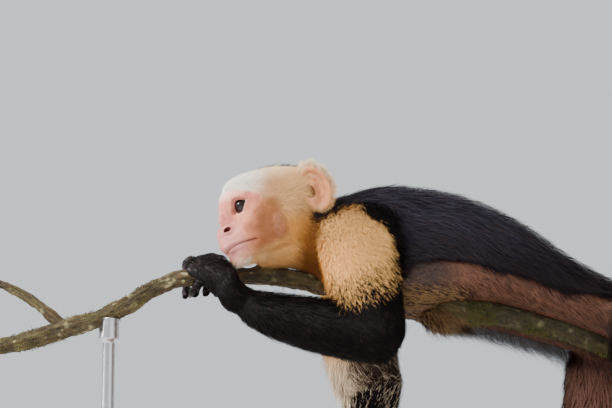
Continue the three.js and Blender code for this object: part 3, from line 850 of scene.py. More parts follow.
def add_mesh(name, v, f, material, tint=None, uv=None, smooth=True, world=False):
    """A mesh object from arrays of points in the perch frame and of triangles or quads."""
    me = bpy.data.meshes.new(name)
    v = np.asarray(v, float)
    at = v if world else (v + (0, 0, PERCH_HEIGHT)) * MM
    me.vertices.add(len(at))
    me.vertices.foreach_set("co", at.astype(np.float32).ravel())
    sides = f.shape[1]
    me.loops.add(f.size)
    me.loops.foreach_set("vertex_index", f.astype(np.int32).ravel())
    me.polygons.add(len(f))
    me.polygons.foreach_set("loop_start", np.arange(0, f.size, sides, dtype=np.int32))
    me.polygons.foreach_set("use_smooth", np.full(len(f), smooth))
    if tint is not None:
        layer = me.color_attributes.new("tint", "FLOAT_COLOR", "POINT")
        layer.data.foreach_set("color", np.column_stack([tint, np.ones(len(tint))]).astype(np.float32).ravel())
    if uv is not None:
        layer = me.uv_layers.new(name="OFBake")
        layer.data.foreach_set("uv", uv[f.ravel()].astype(np.float32).ravel())
    me.update(calc_edges=True)
    me.materials.append(material)
    ob = bpy.data.objects.new(name, me)
    bpy.context.scene.collection.objects.link(ob)
    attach(ob, "root")
    return ob


def new_material(name, constants):
    """A principled material with its constants set."""
    m = bpy.data.materials.new(name)
    m.use_nodes = True
    bsdf = m.node_tree.nodes["Principled BSDF"]
    for key, value in constants.items():
        bsdf.inputs[key].default_value = value
    return m, m.node_tree, bsdf


def node(tree, kind, links=None, **settings):
    n = tree.nodes.new(kind)
    for key, value in settings.items():
        setattr(n, key, value)
    for key, value in (links or {}).items():
        if isinstance(value, bpy.types.NodeSocket):
            tree.links.new(value, n.inputs[key])
        else:
            n.inputs[key].default_value = value
    return n


def texture(tree, scale, kind="Noise", **more):
    """A texture over the object's own coordinates."""
    coords = node(tree, "ShaderNodeTexCoord")
    return node(tree, "ShaderNodeTex" + kind, {"Vector": coords.outputs["Object"], "Scale": scale, **more})


def stretched(tree, value, low, high, start=0.0, end=1.0):
    """A value's range from start to end, stretched from low to high."""
    limits = {"From Min": start, "From Max": end, "To Min": low, "To Max": high}
    return node(tree, "ShaderNodeMapRange", {"Value": value, **limits}).outputs["Result"]


def add_relief(tree, bsdf, height, strength, distance):
    relief = node(tree, "ShaderNodeBump", {"Strength": strength, "Distance": distance, "Height": height})
    tree.links.new(relief.outputs["Normal"], bsdf.inputs["Normal"])


def tinted(name, constants, grain=None):
    """A material that takes its colour from the mesh's tint, made lighter and darker by a grain where there is one.

    The grain is its noise's scale and detail, the noise's range and the range of brightness it stands for.
    """
    m, tree, bsdf = new_material(name, constants)
    colour = node(tree, "ShaderNodeAttribute", attribute_name="tint").outputs["Color"]
    mottle = None
    if grain:
        scale, detail, start, end, low, high = grain
        mottle = texture(tree, scale, Detail=detail).outputs["Fac"]
        level = stretched(tree, mottle, low, high, start, end)
        colour = node(tree, "ShaderNodeVectorMath", {0: colour, 1: level}, operation="MULTIPLY").outputs["Vector"]
    tree.links.new(colour, bsdf.inputs["Base Color"])
    return m, tree, bsdf, mottle


def skin_material():
    look = {"Roughness": 0.5, "Specular IOR Level": 0.22, "Subsurface Weight": 0.12,
            "Subsurface Radius": (0.003, 0.0012, 0.0008), "Subsurface Scale": 1.0}
    m, tree, bsdf, _ = tinted("skin", look, (160.0, 4.0, 0.3, 0.7, 0.84, 1.12))
    pores, fine = texture(tree, 900.0, "Voronoi"), texture(tree, 700.0, Detail=3.0)
    both = node(tree, "ShaderNodeMath", {0: pores.outputs["Distance"], 1: fine.outputs["Fac"]}, operation="ADD")
    add_relief(tree, bsdf, both.outputs["Value"], 0.25, 0.0004)
    return m


# ---- Camera, light and floor ----------------------------------------------------------------------------
CAMERA_TILT = 12.0
CAMERA_AWAY = 1.8
AIM = (-0.0704, 0.0, 0.463)
FRAME_WIDTH = 612 * 0.0008  # metres across the picture at the animal
SENSOR = 36
FLOOR_HALF = 6
# Each light's name, place, what it faces, its width, power and colour.
LIGHTS = [
    ("key", (-1.0, -1.1, 1.9), (-0.05, 0, 0.42), 0.7, 66, (1, 0.96, 0.9)),
    ("fill", (1.0, -1.6, 0.5), (0.05, 0, 0.35), 1.4, 8, (0.95, 0.98, 1)),
    ("front", (-1.5, -0.05, 0.8), (-0.13, 0, 0.48), 0.6, 24, (1, 1, 1)),
    ("rim", (0.5, 1.4, 1.5), (0, 0, 0.4), 0.9, 40, (0.97, 0.99, 1)),
]


def make_camera():
    tilt = np.radians(CAMERA_TILT)
    data = bpy.data.cameras.new("camera")
    data.sensor_width = SENSOR
    data.lens = SENSOR * CAMERA_AWAY / FRAME_WIDTH
    data.clip_start, data.clip_end = 0.1, 30
    cam = bpy.data.objects.new("camera", data)
    cam.location = (AIM[0], AIM[1] - CAMERA_AWAY * np.cos(tilt), AIM[2] - CAMERA_AWAY * np.sin(tilt))
    cam.rotation_euler = (np.radians(90) + tilt, 0, 0)
    bpy.context.scene.collection.objects.link(cam)
    bpy.context.scene.camera = cam


def add_light(name, at, aim, size, power, colour):
    data = bpy.data.lights.new(name, "AREA")
    data.shape = "DISK"
    data.size, data.energy, data.color = size, power, colour
    ob = bpy.data.objects.new(name, data)
    ob.location = at
    ob.rotation_euler = (Vector(aim) - Vector(at)).to_track_quat("-Z", "Y").to_euler()
    bpy.context.scene.collection.objects.link(ob)


def make_stage():
    world = bpy.data.worlds.new("studio")
    world.use_nodes = True
    background = world.node_tree.nodes["Background"]
    background.inputs["Color"].default_value = (0.86, 0.9, 0.95, 1)
    background.inputs["Strength"].default_value = 0.98
    bpy.context.scene.world = world
    for light in LIGHTS:
        add_light(*light)
    m, tree, bsdf = new_material("floor", {"Roughness": 0.8})
    grain = texture(tree, 60.0, Detail=6.0)
    tree.links.new(stretched(tree, grain.outputs["Fac"], 0.74, 0.8), bsdf.inputs["Base Color"])
    me = bpy.data.meshes.new("floor")
    r = FLOOR_HALF
    me.from_pydata([(-r, -r, 0), (r, -r, 0), (r, r, 0), (-r, r, 0)], [], [(0, 1, 2, 3)])
    me.materials.append(m)
    floor = bpy.data.objects.new("floor", me)
    bpy.context.scene.collection.objects.link(floor)


# ---- What grows where: each place on the skin gets its colours, its coat's lie and length ---------------
# For each part: hair length, its width, how many hairs, which way along the part it lies (1 is away from the
# part's start) and what is added to that, in the perch frame.
COATS = {
    "trunk": (21, 0.72, 1.25, 1, (0, 0, -0.5)),
    "sag": (13, 0.5, 1.0, 1, (0, 0, -0.8)),
    "neck": (14, 0.55, 1.8, -1, (0, 0, -0.4)),
    "tail": (13, 0.7, 0.85, 1, (0, 0, 0)),
    "upper_arm": (9.5, 0.42, 2.9, 1, (0.35, 0, -0.1)),
    "forearm": (13, 0.58, 1.7, -1, (0.1, 0, -0.5)),
    "thigh": (17, 0.7, 1.1, 1, (0.3, 0, 0)),
    "shank": (13, 0.62, 1.2, 1, (0.2, 0, -0.1)),
    "foot": (6, 0.42, 1.3, 1, (0, 0, 0)),
    "hand": (6, 0.36, 2.2, 0.3, (0.5, 0, -0.5)),
    "head": (8.5, 0.34, 5.2, 1, (0, 0, 0)),
    "ear": (7, 0.2, 2.2, 1, (0, 0, 0)),
}
REGIONS = ["trunk", "head", "arms", "legs", "tail"]
REGION_OF = {"trunk": 0, "sag": 0, "neck": 0, "tail": 4, "upper_arm": 2, "forearm": 2, "hand": 2,
             "thigh": 3, "shank": 3, "foot": 3, "head": 1, "ear": 1}


def kind(name):
    return name.rsplit("_", 1)[0] if name.endswith(("_left", "_right")) else name


def tangent(d, n):
    return d - (d * n).sum(1)[:, None] * n


def head_lie(h):
    """Back from the nose over the head, down through the ruff, in the perch frame."""
    low = step(h[:, 2], 6, -14) * step(h[:, 0], 36, 20)
    chin = step(h[:, 2], -26, -34) * step(h[:, 0], 40, 50)
    d = np.column_stack([np.full(len(h), -1.0), 0.22 * np.sign(h[:, 1]), np.full(len(h), 0.18)])
    d = blend(d, np.array([-0.55, 0.0, -1.0]), low)
    return blend(d, np.array([-0.6, 0.0, -1.0]), chin) @ HEAD_AXES


def shoulder_edge(p):
    """1 in front of the line over the shoulder where cream turns to black, 0 behind and above it."""
    x, z = p[:, 0] + 3.5 * noise(p, 9, 21), p[:, 2] + 3 * noise(p, 8, 22)
    back = np.interp(z, [-60, -37.6, -15.4, 6.9, 28.6, 45.3, 55.3], [-10, -3, -2, -5, -10, -19, -32])
    top = np.interp(x, [-75, -60, -43.8, -34.4, -18.8], [50, 46, 50, 53, 50])
    return step(back - x, -5, 6) * step(top - z, -3, 5)


def elbow_edge(p):
    """1 on the upper arm's cream half, 0 towards the elbow."""
    line = np.interp(p[:, 0], [-45, -15, 8], [-16, -7, 10])
    return np.clip((p[:, 2] - line + 3 * noise(p, 7, 23)) / 36 + 0.5, 0, 1)


def pale(p, names, h):
    """How much of the hair is cream and not black."""
    out = np.zeros(len(p))
    edge = shoulder_edge(p)
    for name in set(names):
        on = names == name
        q = p[on]
        if name in ("trunk", "sag", "neck"):
            tuft = step(q[:, 0], 66, 40) * step(q[:, 2], 2, -12) * 0.65
            out[on] = np.maximum(edge[on], tuft)
        elif name == "upper_arm_left":
            out[on] = edge[on] * elbow_edge(q)
        elif name in ("upper_arm_right", "forearm_right"):
            at = next(part for part in PARTS if part.name == name).locate(q)
            outer = step(at["u"] + 2 * noise(q, 9, 27), 0, 9)
            strip = step(-at["v"] + 3 * noise(q, 8, 24), 10, 19) * step(q[:, 2], -150, -80)
            inner = (0.1 + 0.8 * strip) * step(q[:, 2], -150, -100)
            upper = elbow_edge(q) * (name == "upper_arm_right")
            out[on] = np.where(q[:, 2] > 12, edge[on], outer * upper + (1 - outer) * inner)
        elif name in ("head", "ear"):
            g = h[on]
            wide = np.interp(g[:, 0], [-60, -28, -14, 0, 10, 22, 32, 37], [40, 30, 23, 14, 12, 8, 1, -7])
            low = -26 * step(-g[:, 0], 0, 16)
            cap = step(wide - np.abs(g[:, 1]) + 2 * noise(q, 6, 25), -2, 2.5) * step(g[:, 2] - low, 4, 12)
            nape = step(-g[:, 0], 24, 34) * step(q[:, 2], 40, 48)
            out[on] = 1 - np.maximum(cap, nape * (name == "head"))
    return out


def is_kind(names, *starts):
    """Which of the names start with one of these."""
    return np.any([np.char.startswith(names, start) for start in starts], axis=0)


def cream_colour(p, h, names):
    """The pale hair's colour: nearly white on the forehead, straw on temples and shoulders, ochre in the ruff, with
    painted shade under the jaw, painted light on the throat and a painted glow of light through the shoulders' hair.
    """
    ahead, up = h[:, 0], h[:, 2]
    cheek = step(ahead, 62, 50) * step(ahead, 24, 34) * step(up, 6, 0) * step(up, -36, -28)
    throat = step(up, -24, -34) * step(ahead, 50, 36) * step(ahead, 18, 32)
    head = paint(
        flat((220, 172, 116), len(p)),
        ((240, 216, 176), step(up, 12, 25)),
        ((255, 245, 230), step(ahead + 0.5 * (up - 15), 27, 43) * step(up, 2, 12)),
        ((202, 150, 110), bump(ahead, 31, 11) * bump(up, 10, 11) * 0.8),
        ((222, 156, 78), step(up, -6, -20) * step(ahead, 42, 24)),
        # painted shade: dark brown on the neck under the back of the jaw and skull
        ((88, 42, 9), step(ahead + 0.84 * up, 2, -13) * step(up, -8, -16) * 0.9),
        ((166, 108, 64), cheek),
        # painted light: the throat is painted paler, as if lit from below
        ((244, 184, 112), throat * 0.7),
        ((244, 228, 206), step(ahead, 54, 60) * step(up, -30, -35) * 0.7),
    )
    ears = names == "ear"
    head[ears] = paint(flat((238, 214, 172), ears.sum()), ((222, 178, 126), step(up[ears], 12, 0)))
    x, z = p[:, 0], p[:, 2]
    body = paint(
        flat((222, 170, 100), len(p)),
        # a painted glow of light shining through the hair at the front of the shoulders
        ((241, 180, 102), step(-x, 22, 42) * step(z, 34, 6)),
        ((186, 140, 88), step(z, 34, 52) * 0.8),
        ((126, 96, 64), step(x, -16, 0) * step(z, 10, -6) * ~is_kind(names, "upper", "fore")),
        ((228, 204, 172), step(z, -30, -60)),
    )
    near_head = np.maximum(step(-x, 48, 66), (names == "neck") * step(-x, 34, 50))
    near_head[is_kind(names, "upper_arm")] = 0
    near_head[(names == "head") | ears] = 1
    return blend(body, head, near_head)


def dark_colour(p, names, warm):
    """The black hair's colour: a bluish painted sheen on top of the back, blackest on the arms and deepened there as
    painted shade, brown where skin shows through.
    """
    x, y, z = p.T
    # the bluish grey over the top of the back is a painted sheen
    out = paint(flat((22, 17, 20), len(p)), ((40, 37, 45), step(z, 0, 50) * step(x, -60, -20)))
    # the arms' hair is painted blacker than the rest of the black coat, as painted shade
    out[is_kind(names, "hand", "forearm", "upper")] = srgb(11, 8, 8)
    inner_thigh = (names == "thigh_right") * step(y, 50, 32) * step(z, -140, -104)
    return paint(out, ((62, 42, 33), warm), ((108, 74, 64), inner_thigh),
                 ((44, 31, 25), warm * step(x, 58, 30) * step(x, -30, -10)))


def face_colour(p, h):
    """The bare face: pink muzzle, paler brow, redder round the eyes, browner on the cheeks, with painted shade in the
    lid folds, nostrils, mouth line and creases and a painted highlight on the lower lids' rims.
    """
    f = folded(h)
    ahead, up = h[:, 0], h[:, 2]
    rho, almond, _, y, _ = eye_parts(f)
    near = step(rho, 15, 12.5)
    ridge, frown = frown_line(f)
    over, fold = over_mouth(h), jaw_fold(h)
    return paint(
        flat((206, 126, 94), len(p)),
        ((160, 94, 60), step(ahead, 57, 46) * step(up, 2, -10) * 0.8),
        ((204, 130, 122), step(ahead, 55, 62) * step(up, 2, -10)),
        ((172, 106, 74), step(ahead, 60, 52) * step(up, -25, -30) * 0.6),
        ((238, 182, 166), step(up, 9, 17) * step(ahead, 40, 50)),
        ((206, 118, 104), bump(rho, 9, 6.5) * step(up, -2, 8) * 0.75),
        ((214, 140, 132), bump(np.hypot(f[:, 1] - 3, up - 4), 0, 7) * step(ahead, 52, 58) * 0.6),
        ((112, 62, 50), bump(almond, 1.9, 1.1) * (y > 0) * near * 0.8),  # painted shade in the upper lid's fold, then the lids' rims
        # the lower lid's rim is pale skin with a painted highlight along its wet edge
        ((232, 190, 180), bump(almond, 1.1, 0.6) * (y < 0) * near * 0.7),
        # the lids' dark edges, painted shade where they meet the eyeball
        ((52, 30, 27), bump(almond, 0, 0.75) * near * 0.9),
        # the nostrils' insides are painted dark, as painted shade
        ((84, 24, 18), step(nostril(f, 2.5, 3.6, 1.45), 0.9, 0.1)),
        # painted shade in the crease beside the bridge of the nose
        ((186, 84, 72), bump(ridge, -2.0, 1.0) * frown * 0.35),
        ((84, 38, 34), bump(over, 0, 0.7) * step(f[:, 1], 18.5, 16) * step(ahead, 42, 47) * 0.95),  # the mouth's line, painted dark as painted shade between the lips
        ((206, 142, 136), bump(over, 0, 3.0) * step(f[:, 1], 18, 8) * step(ahead, 52, 58) * 0.5),
        ((212, 142, 126), step(fold, 1.5, 0.6) * 0.7),
        # painted shade in the groove round the jaw's pale fold
        ((164, 96, 74), bump(fold, 1.6, 0.5) * 0.5),
        ((160, 96, 64), step(noise(p, 1.6, 31), 0.25, 0.6) * step(ahead, 60, 40) * 0.4),
    )


def ear_colour(h):
    q = (folded(h) - np.array(EAR["at"])) @ EAR_AXES.T
    hollow = step(np.linalg.norm(q - (-4.2, -1.4, -1), axis=1), 9.5, 4.5)
    rim = bump(np.hypot(q[:, 0] / EAR["wide"], q[:, 1] / EAR["tall"]), 0.62, 0.16)
    # the hollow is painted darker, as painted shade
    return paint(flat((216, 140, 92), len(h)), ((132, 78, 54), hollow * 0.9), ((196, 128, 98), rim * 0.5))


def bare_colour(p, h, names):
    """The skin's own colour where no coat hides it."""
    out = flat((58, 42, 38), len(p))
    out[is_kind(names, "hand", "foot")] = srgb(40, 29, 26)
    out[(names == "upper_arm_right") | (names == "forearm_right")] = srgb(112, 82, 74)
    out[names == "thigh_right"] = srgb(112, 70, 54)
    body, head, ear, palm = np.isin(names, ["trunk", "sag"]), names == "head", names == "ear", names == "hand_left"
    out[body] = paint(flat((106, 67, 49), body.sum()), ((64, 46, 38), step(p[body][:, 0], 58, 30)))
    out[palm] = paint(out[palm], ((128, 104, 122), step(p[palm][:, 0], -164, -171) * 0.8))
    out[head] = face_colour(p[head], h[head])
    out[ear] = ear_colour(h[ear])
    return out


DIGIT_REACH = 16  # a hand's or foot's tube that blends over less than this is a digit


def head_coat(h):
    """The head's hair: its length, width and number, and what it adds to the coat's depth."""
    ahead, up = h[:, 0], h[:, 2]
    long, wide, often = COATS["head"][:3]
    cheek = step(ahead, 16, 34) * step(up, 14, 0)
    over_ear = bump(ahead, 6, 9) * bump(up, 5, 14) * step(np.abs(h[:, 1]), 12, 20)
    bare, near = face_mask(h), near_face(h)
    chin = step(up, -26, -33) * step(ahead, 42, 50) * bare
    length = long - 4.0 * cheek + 8.0 * over_ear
    length = length + (4.2 - length) * near
    length = length + (2.8 - length) * step(bare, 0.0, 0.75) + 2.8 * chin
    width = wide - 0.08 * cheek
    width = width + (0.16 - width) * step(bare + 0.5 * near, 0.1, 0.8)
    stipple = step(ahead, 60, 46) * step(up, 10, 2)
    brow = step(up, 9, 13) * step(ahead, 62, 56)
    many = (often - 1.5 * cheek) * (1 - bare) + bare * (0.35 + 2.6 * stipple + 2.4 * brow) + chin
    rho, almond, *_ = eye_parts(folded(h))
    lid = step(almond, 3.4, 1.6) * step(rho, 14, 12.5)
    lips = step(np.abs(over_mouth(h)), 5.5, 3.5) * step(ahead, 46, 52)
    lips = np.minimum(lips + step(ahead, 60, 62.5) * step(up, -18, -14), 1)
    many = many * (1 - lid) * (1 - lips) * step(rho, 12.5, 15.5)
    return length, width, many, 4.5 * over_ear + chin + 0.25 * bare


def ear_coat(h):
    """The ear's hair: which way it lies, its length, width and number, and the coat's depth."""
    e = (folded(h) - np.array(EAR["at"])) @ EAR_AXES.T
    u, v = e[:, 0] / EAR["wide"], e[:, 1] / EAR["tall"]
    out = np.column_stack([u + 0.25, v + 0.2, np.full(len(h), 0.1)]) @ EAR_AXES
    out[:, 1] *= np.where(h[:, 1] < 0, -1, 1)
    rim = step(np.hypot(u, v), 0.78, 0.95) * step(e[:, 1] + e[:, 0] * 0.6, -10, 0)
    inside = step(e[:, 2], -1.5, 0.5) * step(np.hypot(u, v), 1.0, 0.85)
    many = (1.0 + 0.9 * rim) * (1 - 0.45 * inside)
    return unit(out @ HEAD_AXES), 4.2 + 4.3 * rim - 1.5 * inside, 0.22 - 0.1 * inside, many, 0.8 + 3 * rim


def trunk_coat(name, q, at, deep):
    """How bare the trunk is, how far a fringe hangs from it, and how far its coat is shortened under the belly."""
    around_up = at["v"] / np.maximum(at["r"][:, 1], 1)
    bare = step(around_up, 0.1, -0.5) if name == "sag" else step(deep, 6.5, 2.6)
    fringe = step(around_up, -0.35, -0.8) * step(at["u"], -4, 14) * step(q[:, 0], 4, 28)
    chest = step(q[:, 0], 66, 48) * step(q[:, 2], -4, -14)
    under = step(around_up, -0.1, -0.5) * step(q[:, 0], -20, 0) * step(q[:, 0], 80, 50)
    return bare * (1 - 0.8 * chest), fringe, fringe * bare, under


def describe(p, n):
    """Everything the coat needs at points p of the skin with normals n."""
    count = len(p)
    h = to_head(p)
    best = np.full(count, 1e9)
    weight = np.zeros(count)
    lie = np.zeros((count, 3))
    sums = {k: np.zeros(count) for k in ("length", "width", "many", "deep", "warm")}
    names = np.full(count, "trunk", dtype="<U16")
    found = []
    for part in PARTS:
        near = in_box(part, p)
        if not len(near):
            continue
        q = p[near]
        if isinstance(part, Tube):
            d, at = part.coat(q)
            deep = part.depth(q, at) if callable(part.depth) else np.full(len(q), part.depth)
            d = d + deep
        else:
            d, at = part.field(q), None
            deep = head_depth(to_head(q)) if part.name == "head" else 0
        found.append((part, near, d, at, deep))
        closer = d < best[near]
        best[near[closer]] = d[closer]
        names[near[closer]] = part.name
    for part, near, d, at, deep in found:
        w = np.exp(-(d - best[near]) / 4.0)
        q = p[near]
        name, sort = part.name, kind(part.name)
        length, width, many, sign, more = COATS[sort]
        warm = 0.0
        if name == "head":
            way = head_lie(h[near])
            length, width, many, extra = head_coat(h[near])
            deep = deep + extra
        elif name == "ear":
            way, length, width, many, deep = ear_coat(h[near])
        else:
            way = at["t"] * sign + np.array(more)
        if sort in ("trunk", "sag"):
            bare, fringe, hang, under = trunk_coat(name, q, at, deep)
            length = length * (1 - 0.6 * bare) * (1 - 0.72 * under) + hang * 28
            width = width * (1 - 0.68 * bare)
            many = many * (1 - 0.66 * bare) + 2.6 * hang
            warm = bare * (1 - 0.6 * fringe)
            way = way + hang[:, None] * np.array([0, 0, -1.6])
            deep = deep + hang * 18
        elif sort in ("hand", "foot"):
            if part.reach < DIGIT_REACH:  # a digit: short hair on its back alone
                length, width, many, deep = 3.6, 0.4, 1.4, 0.8
            many = many * step(palm_side(part, q, at), 0.35, -0.1)
            deep = np.maximum(deep, 0.9)
        elif sort == "upper_arm":
            length = length + 3 * step(q[:, 2], -10, -45)
        if name == "upper_arm_right":
            wisps = step(-at["v"], 2, 12) * step(q[:, 2], -105, -80) * step(q[:, 2], 0, -25)
            inner = step(at["u"], 4, -8)
            length, deep = length + 9 * wisps, deep + 10 * wisps
            many = many * (1 - 0.72 * inner * step(-at["v"], 14, 6))
            width = width * (1 - 0.3 * inner)
            warm = 0.9 * inner
        elif name == "thigh_right":
            inner = step(at["u"], 4, -10)
            warm = 0.8 * inner
            many = many * (1 - 0.55 * inner)
        for key, value in zip(sums, (length, width, many, deep, warm)):
            sums[key][near] += w * value
        lie[near] += w[:, None] * unit(tangent(way, n[near]) + 1e-6)
        weight[near] += w
    out = {k: v / weight for k, v in sums.items()}
    swirl = np.column_stack([noise(p, 14, seed) for seed in (41, 42, 43)])
    fine = np.column_stack([noise(p, 4.5, seed) for seed in (44, 45, 46)])
    out["lie"] = unit(tangent(unit(lie) + 0.22 * swirl + 0.13 * fine, n))
    return dict(out, names=names, head=h, pale=pale(p, names, h), cream=cream_colour(p, h, names),
                dark=dark_colour(p, names, out["warm"]))


def palm_side(part, p, at):
    """Above 0 on the palm or sole and the inside of a grip."""
    rel = unit(at["u"][:, None] * at["side"] + at["v"][:, None] * at["up"])
    if part.name == "hand_left":
        y, z, _ = branch_at(p[:, 0])
        return (rel * unit(np.column_stack([0 * y, y - p[:, 1], z - p[:, 2]]))).sum(1)
    return rel @ np.array([1.0, 0, 0.2 if part.name.startswith("foot") else -0.2])


def skin_colours(p, place):
    """The skin under the coat is as dark as the coat's roots, a painted shade in the gaps between tufts; bare skin
    has its own colour.
    """
    h, names = place["head"], place["names"]
    under = blend(flat((26, 22, 22), len(p)), place["cream"] * 0.78, place["pale"])
    hidden = step(place["many"] * place["length"] * place["width"], 2.0, 6.0) * (1 - 0.9 * place["warm"])
    hidden = np.where(names == "head", (1 - face_mask(h)) * 0.9, hidden)
    hidden[names == "ear"] = 0
    return blend(bare_colour(p, h, names), under, hidden)


# ---- The coat's tufts -----------------------------------------------------------------------------------
TUFT_COUNT = 472000
FACES = np.array([[0, 3, 1], [0, 2, 3], [2, 4, 3]])
TUFT_POINTS = 5
MOST_TRIANGLES = 190000  # in one piece of coat
STRAY_SHARE, BROWN_SHARE = 0.03, 0.08  # tufts that stand up, and brown ones among the black
BAKE_PATCH = 0.003
# Where each big part's roots lie on the map: corner, width, height. The others share rows of small cells.
CELLS = {"trunk": (0, 0, 0.5, 0.34), "head": (0.5, 0, 0.34, 0.34), "neck": (0.84, 0, 0.16, 0.34),
         "tail": (0, 0.34, 0.5, 0.13), "sag": (0.5, 0.34, 0.2, 0.13)}


def atlas_cell(name, index):
    i = index % 48
    return CELLS.get(name, (i % 8 * 0.125, 0.5 + i // 8 * 0.083, 0.12, 0.078))


def tuft_map(p, owner):
    """Where each root lies on the flattened skin: along and round its own part."""
    uv = np.zeros((len(p), 2))
    for k, part in enumerate(PARTS):
        on = owner == k
        if not on.any():
            continue
        x, y, wide, tall = atlas_cell(part.name, k)
        if isinstance(part, Tube):
            at = part.locate(p[on])
            a, b = at["along"], np.arctan2(at["v"], at["u"]) / (2 * np.pi) + 0.5
        else:
            h = to_head(p[on]) - (17, 0, 0)
            a = np.arccos(np.clip(unit(h)[:, 0], -1, 1)) / np.pi
            b = np.arctan2(h[:, 2], h[:, 1]) / (2 * np.pi) + 0.5
        uv[on] = np.column_stack([x + 0.004 + a * (wide - 0.008), y + 0.004 + b * (tall - 0.008)])
    return uv


def owners(p):
    """Which part each point is nearest to."""
    best, owner = np.full(len(p), 1e9), np.zeros(len(p), int)
    for k, part in enumerate(PARTS):
        near = in_box(part, p)
        if len(near):
            d = part.field(p[near])
            closer = d < best[near]
            best[near[closer]], owner[near[closer]] = d[closer], k
    return owner


def ribbon(line, across, width, root_share):
    """The five points of each pointed tuft along a line of three, narrower at its root."""
    pts = []
    for point, share in zip(line, (root_share, 1.0)):
        half = across * (width * share / 2)[:, None]
        pts += [point - half, point + half]
    return np.stack(pts + [line[2]], 1)


def grow_coat(v, f, n, place):
    """Tufts over the whole skin: returns roots' data and each tuft's five points, colours and normals."""
    area = np.linalg.norm(slants(v, f), axis=1) / 2
    share = area * place["many"][f].mean(1)
    pick = np.searchsorted(np.cumsum(share), rng.random(TUFT_COUNT) * share.sum())
    pick = np.minimum(pick, len(f) - 1)
    w = rng.random((TUFT_COUNT, 2))
    flip = w.sum(1) > 1
    w[flip] = 1 - w[flip]
    w = np.column_stack([1 - w.sum(1), w])

    def at(x):
        x = x[f[pick]]
        return (x * (w[:, :, None] if x.ndim == 3 else w)).sum(1)

    root, normal = at(v), unit(at(n))
    lie = unit(tangent(at(place["lie"]), normal))
    length, width, deep = at(place["length"]), at(place["width"]), at(place["deep"])
    wild = rng.random(TUFT_COUNT)
    length = length * (0.7 + 0.5 * rng.random(TUFT_COUNT))
    low = 0.3 + 0.62 * rng.random(TUFT_COUNT) ** 0.7
    stray = wild < STRAY_SHARE
    height = deep * low
    height[stray] = deep[stray] * 1.08 + 0.4
    width = width * (0.56 + 0.4 * rng.random(TUFT_COUNT))
    side = np.cross(normal, lie)
    lie = unit(lie + side * rng.normal(0, 0.11, TUFT_COUNT)[:, None])
    side = np.cross(normal, lie)
    curl = rng.normal(0, 0.12, TUFT_COUNT) * length
    reach = np.sqrt(np.maximum(length ** 2 - height ** 2, (length * 0.5) ** 2))
    stops = np.array([0, 0.46, 1.0])
    rise = 1 - (1 - stops) ** 2.2
    line = [root + lie * (reach * s)[:, None] + side * (curl * s * s)[:, None] + normal * (height * r - 0.25)[:, None]
            for s, r in zip(stops, rise)]
    # keep the tips at their height over the skin, whichever way it curves
    on_ear = place["names"][f[pick][:, 0]] == "ear"
    error = np.clip(np.where(on_ear, 0, field(line[2]) - height), -14, 14)
    line[2] -= normal * error[:, None]
    line[1] -= normal * (0.23 * error)[:, None]
    roll = np.radians(rng.normal(0, 22, TUFT_COUNT))
    across = side * np.cos(roll)[:, None] + normal * np.sin(roll)[:, None]
    pts = ribbon(line, across, width, 0.75)
    # colours: each tuft is cream or black by chance where the two meet
    m = at(place["pale"])
    cream = rng.random(TUFT_COUNT) < (m - 0.02) / 0.96
    shade = 1 + 0.2 * rng.normal(0, 1, TUFT_COUNT).clip(-2, 2) + 0.12 * noise(root, 5, 51)
    black = at(place["dark"]) * shade[:, None]
    brown = rng.random(TUFT_COUNT) < BROWN_SHARE
    black[brown] = srgb(36, 24, 19) * shade[brown][:, None]
    pale_hair = at(place["cream"]) * (1 + 0.45 * (shade - 1))[:, None]
    tone = np.where(cream[:, None], pale_hair, black)
    ramp = np.where(cream[:, None], (0.78, 1.0, 1.18), (0.7, 1.0, 1.4))  # brightness at root, middle and tip
    tint = tone[:, None, :] * ramp[:, [0, 0, 1, 1, 2], None]
    # normals lean from the ribbon's own to the skin's
    own = unit(np.cross(across, unit(line[2] - root)))
    own = np.where(((own * normal).sum(1) < 0)[:, None], -own, own)
    soft = unit(own * 0.4 + normal * 0.6)
    return dict(root=root, pts=pts, tint=np.clip(tint, 0, 1), normal=soft, corner=f[pick][:, 0])


def add_tufts(name, coat, on, uv, material):
    """One piece of coat from the tufts that are `on`, each with its own small patch of the map."""
    f = (FACES[None] + TUFT_POINTS * np.arange(len(on))[:, None, None]).reshape(-1, 3)
    spread = BAKE_PATCH * (np.array([[0, 0], [1, 0], [0, 0.5], [1, 0.5], [0.5, 1]]) - 0.5)
    patch = (uv[on][:, None] + spread[None]).reshape(-1, 2)
    pts, tint = (coat[key][on].reshape(-1, 3) for key in ("pts", "tint"))
    ob = add_mesh(name, pts, f, material, tint=tint, uv=patch)
    if "normal" in coat:
        normals = ob.data.attributes.new("custom_normal", "FLOAT_VECTOR", "POINT")
        each = np.repeat(coat["normal"][on], TUFT_POINTS, axis=0)
        normals.data.foreach_set("vector", each.astype(np.float32).ravel())
        ob.data.update()


# ---- Eyes and nails -------------------------------------------------------------------------------------
def bands(rows, spokes):
    """Quads between the rings of a turned form."""
    i, j = np.meshgrid(np.arange(rows - 1), np.arange(spokes), indexing="ij")
    k = (j + 1) % spokes
    return np.stack([i * spokes + j, i * spokes + k, (i + 1) * spokes + k, (i + 1) * spokes + j], -1).reshape(-1, 4)


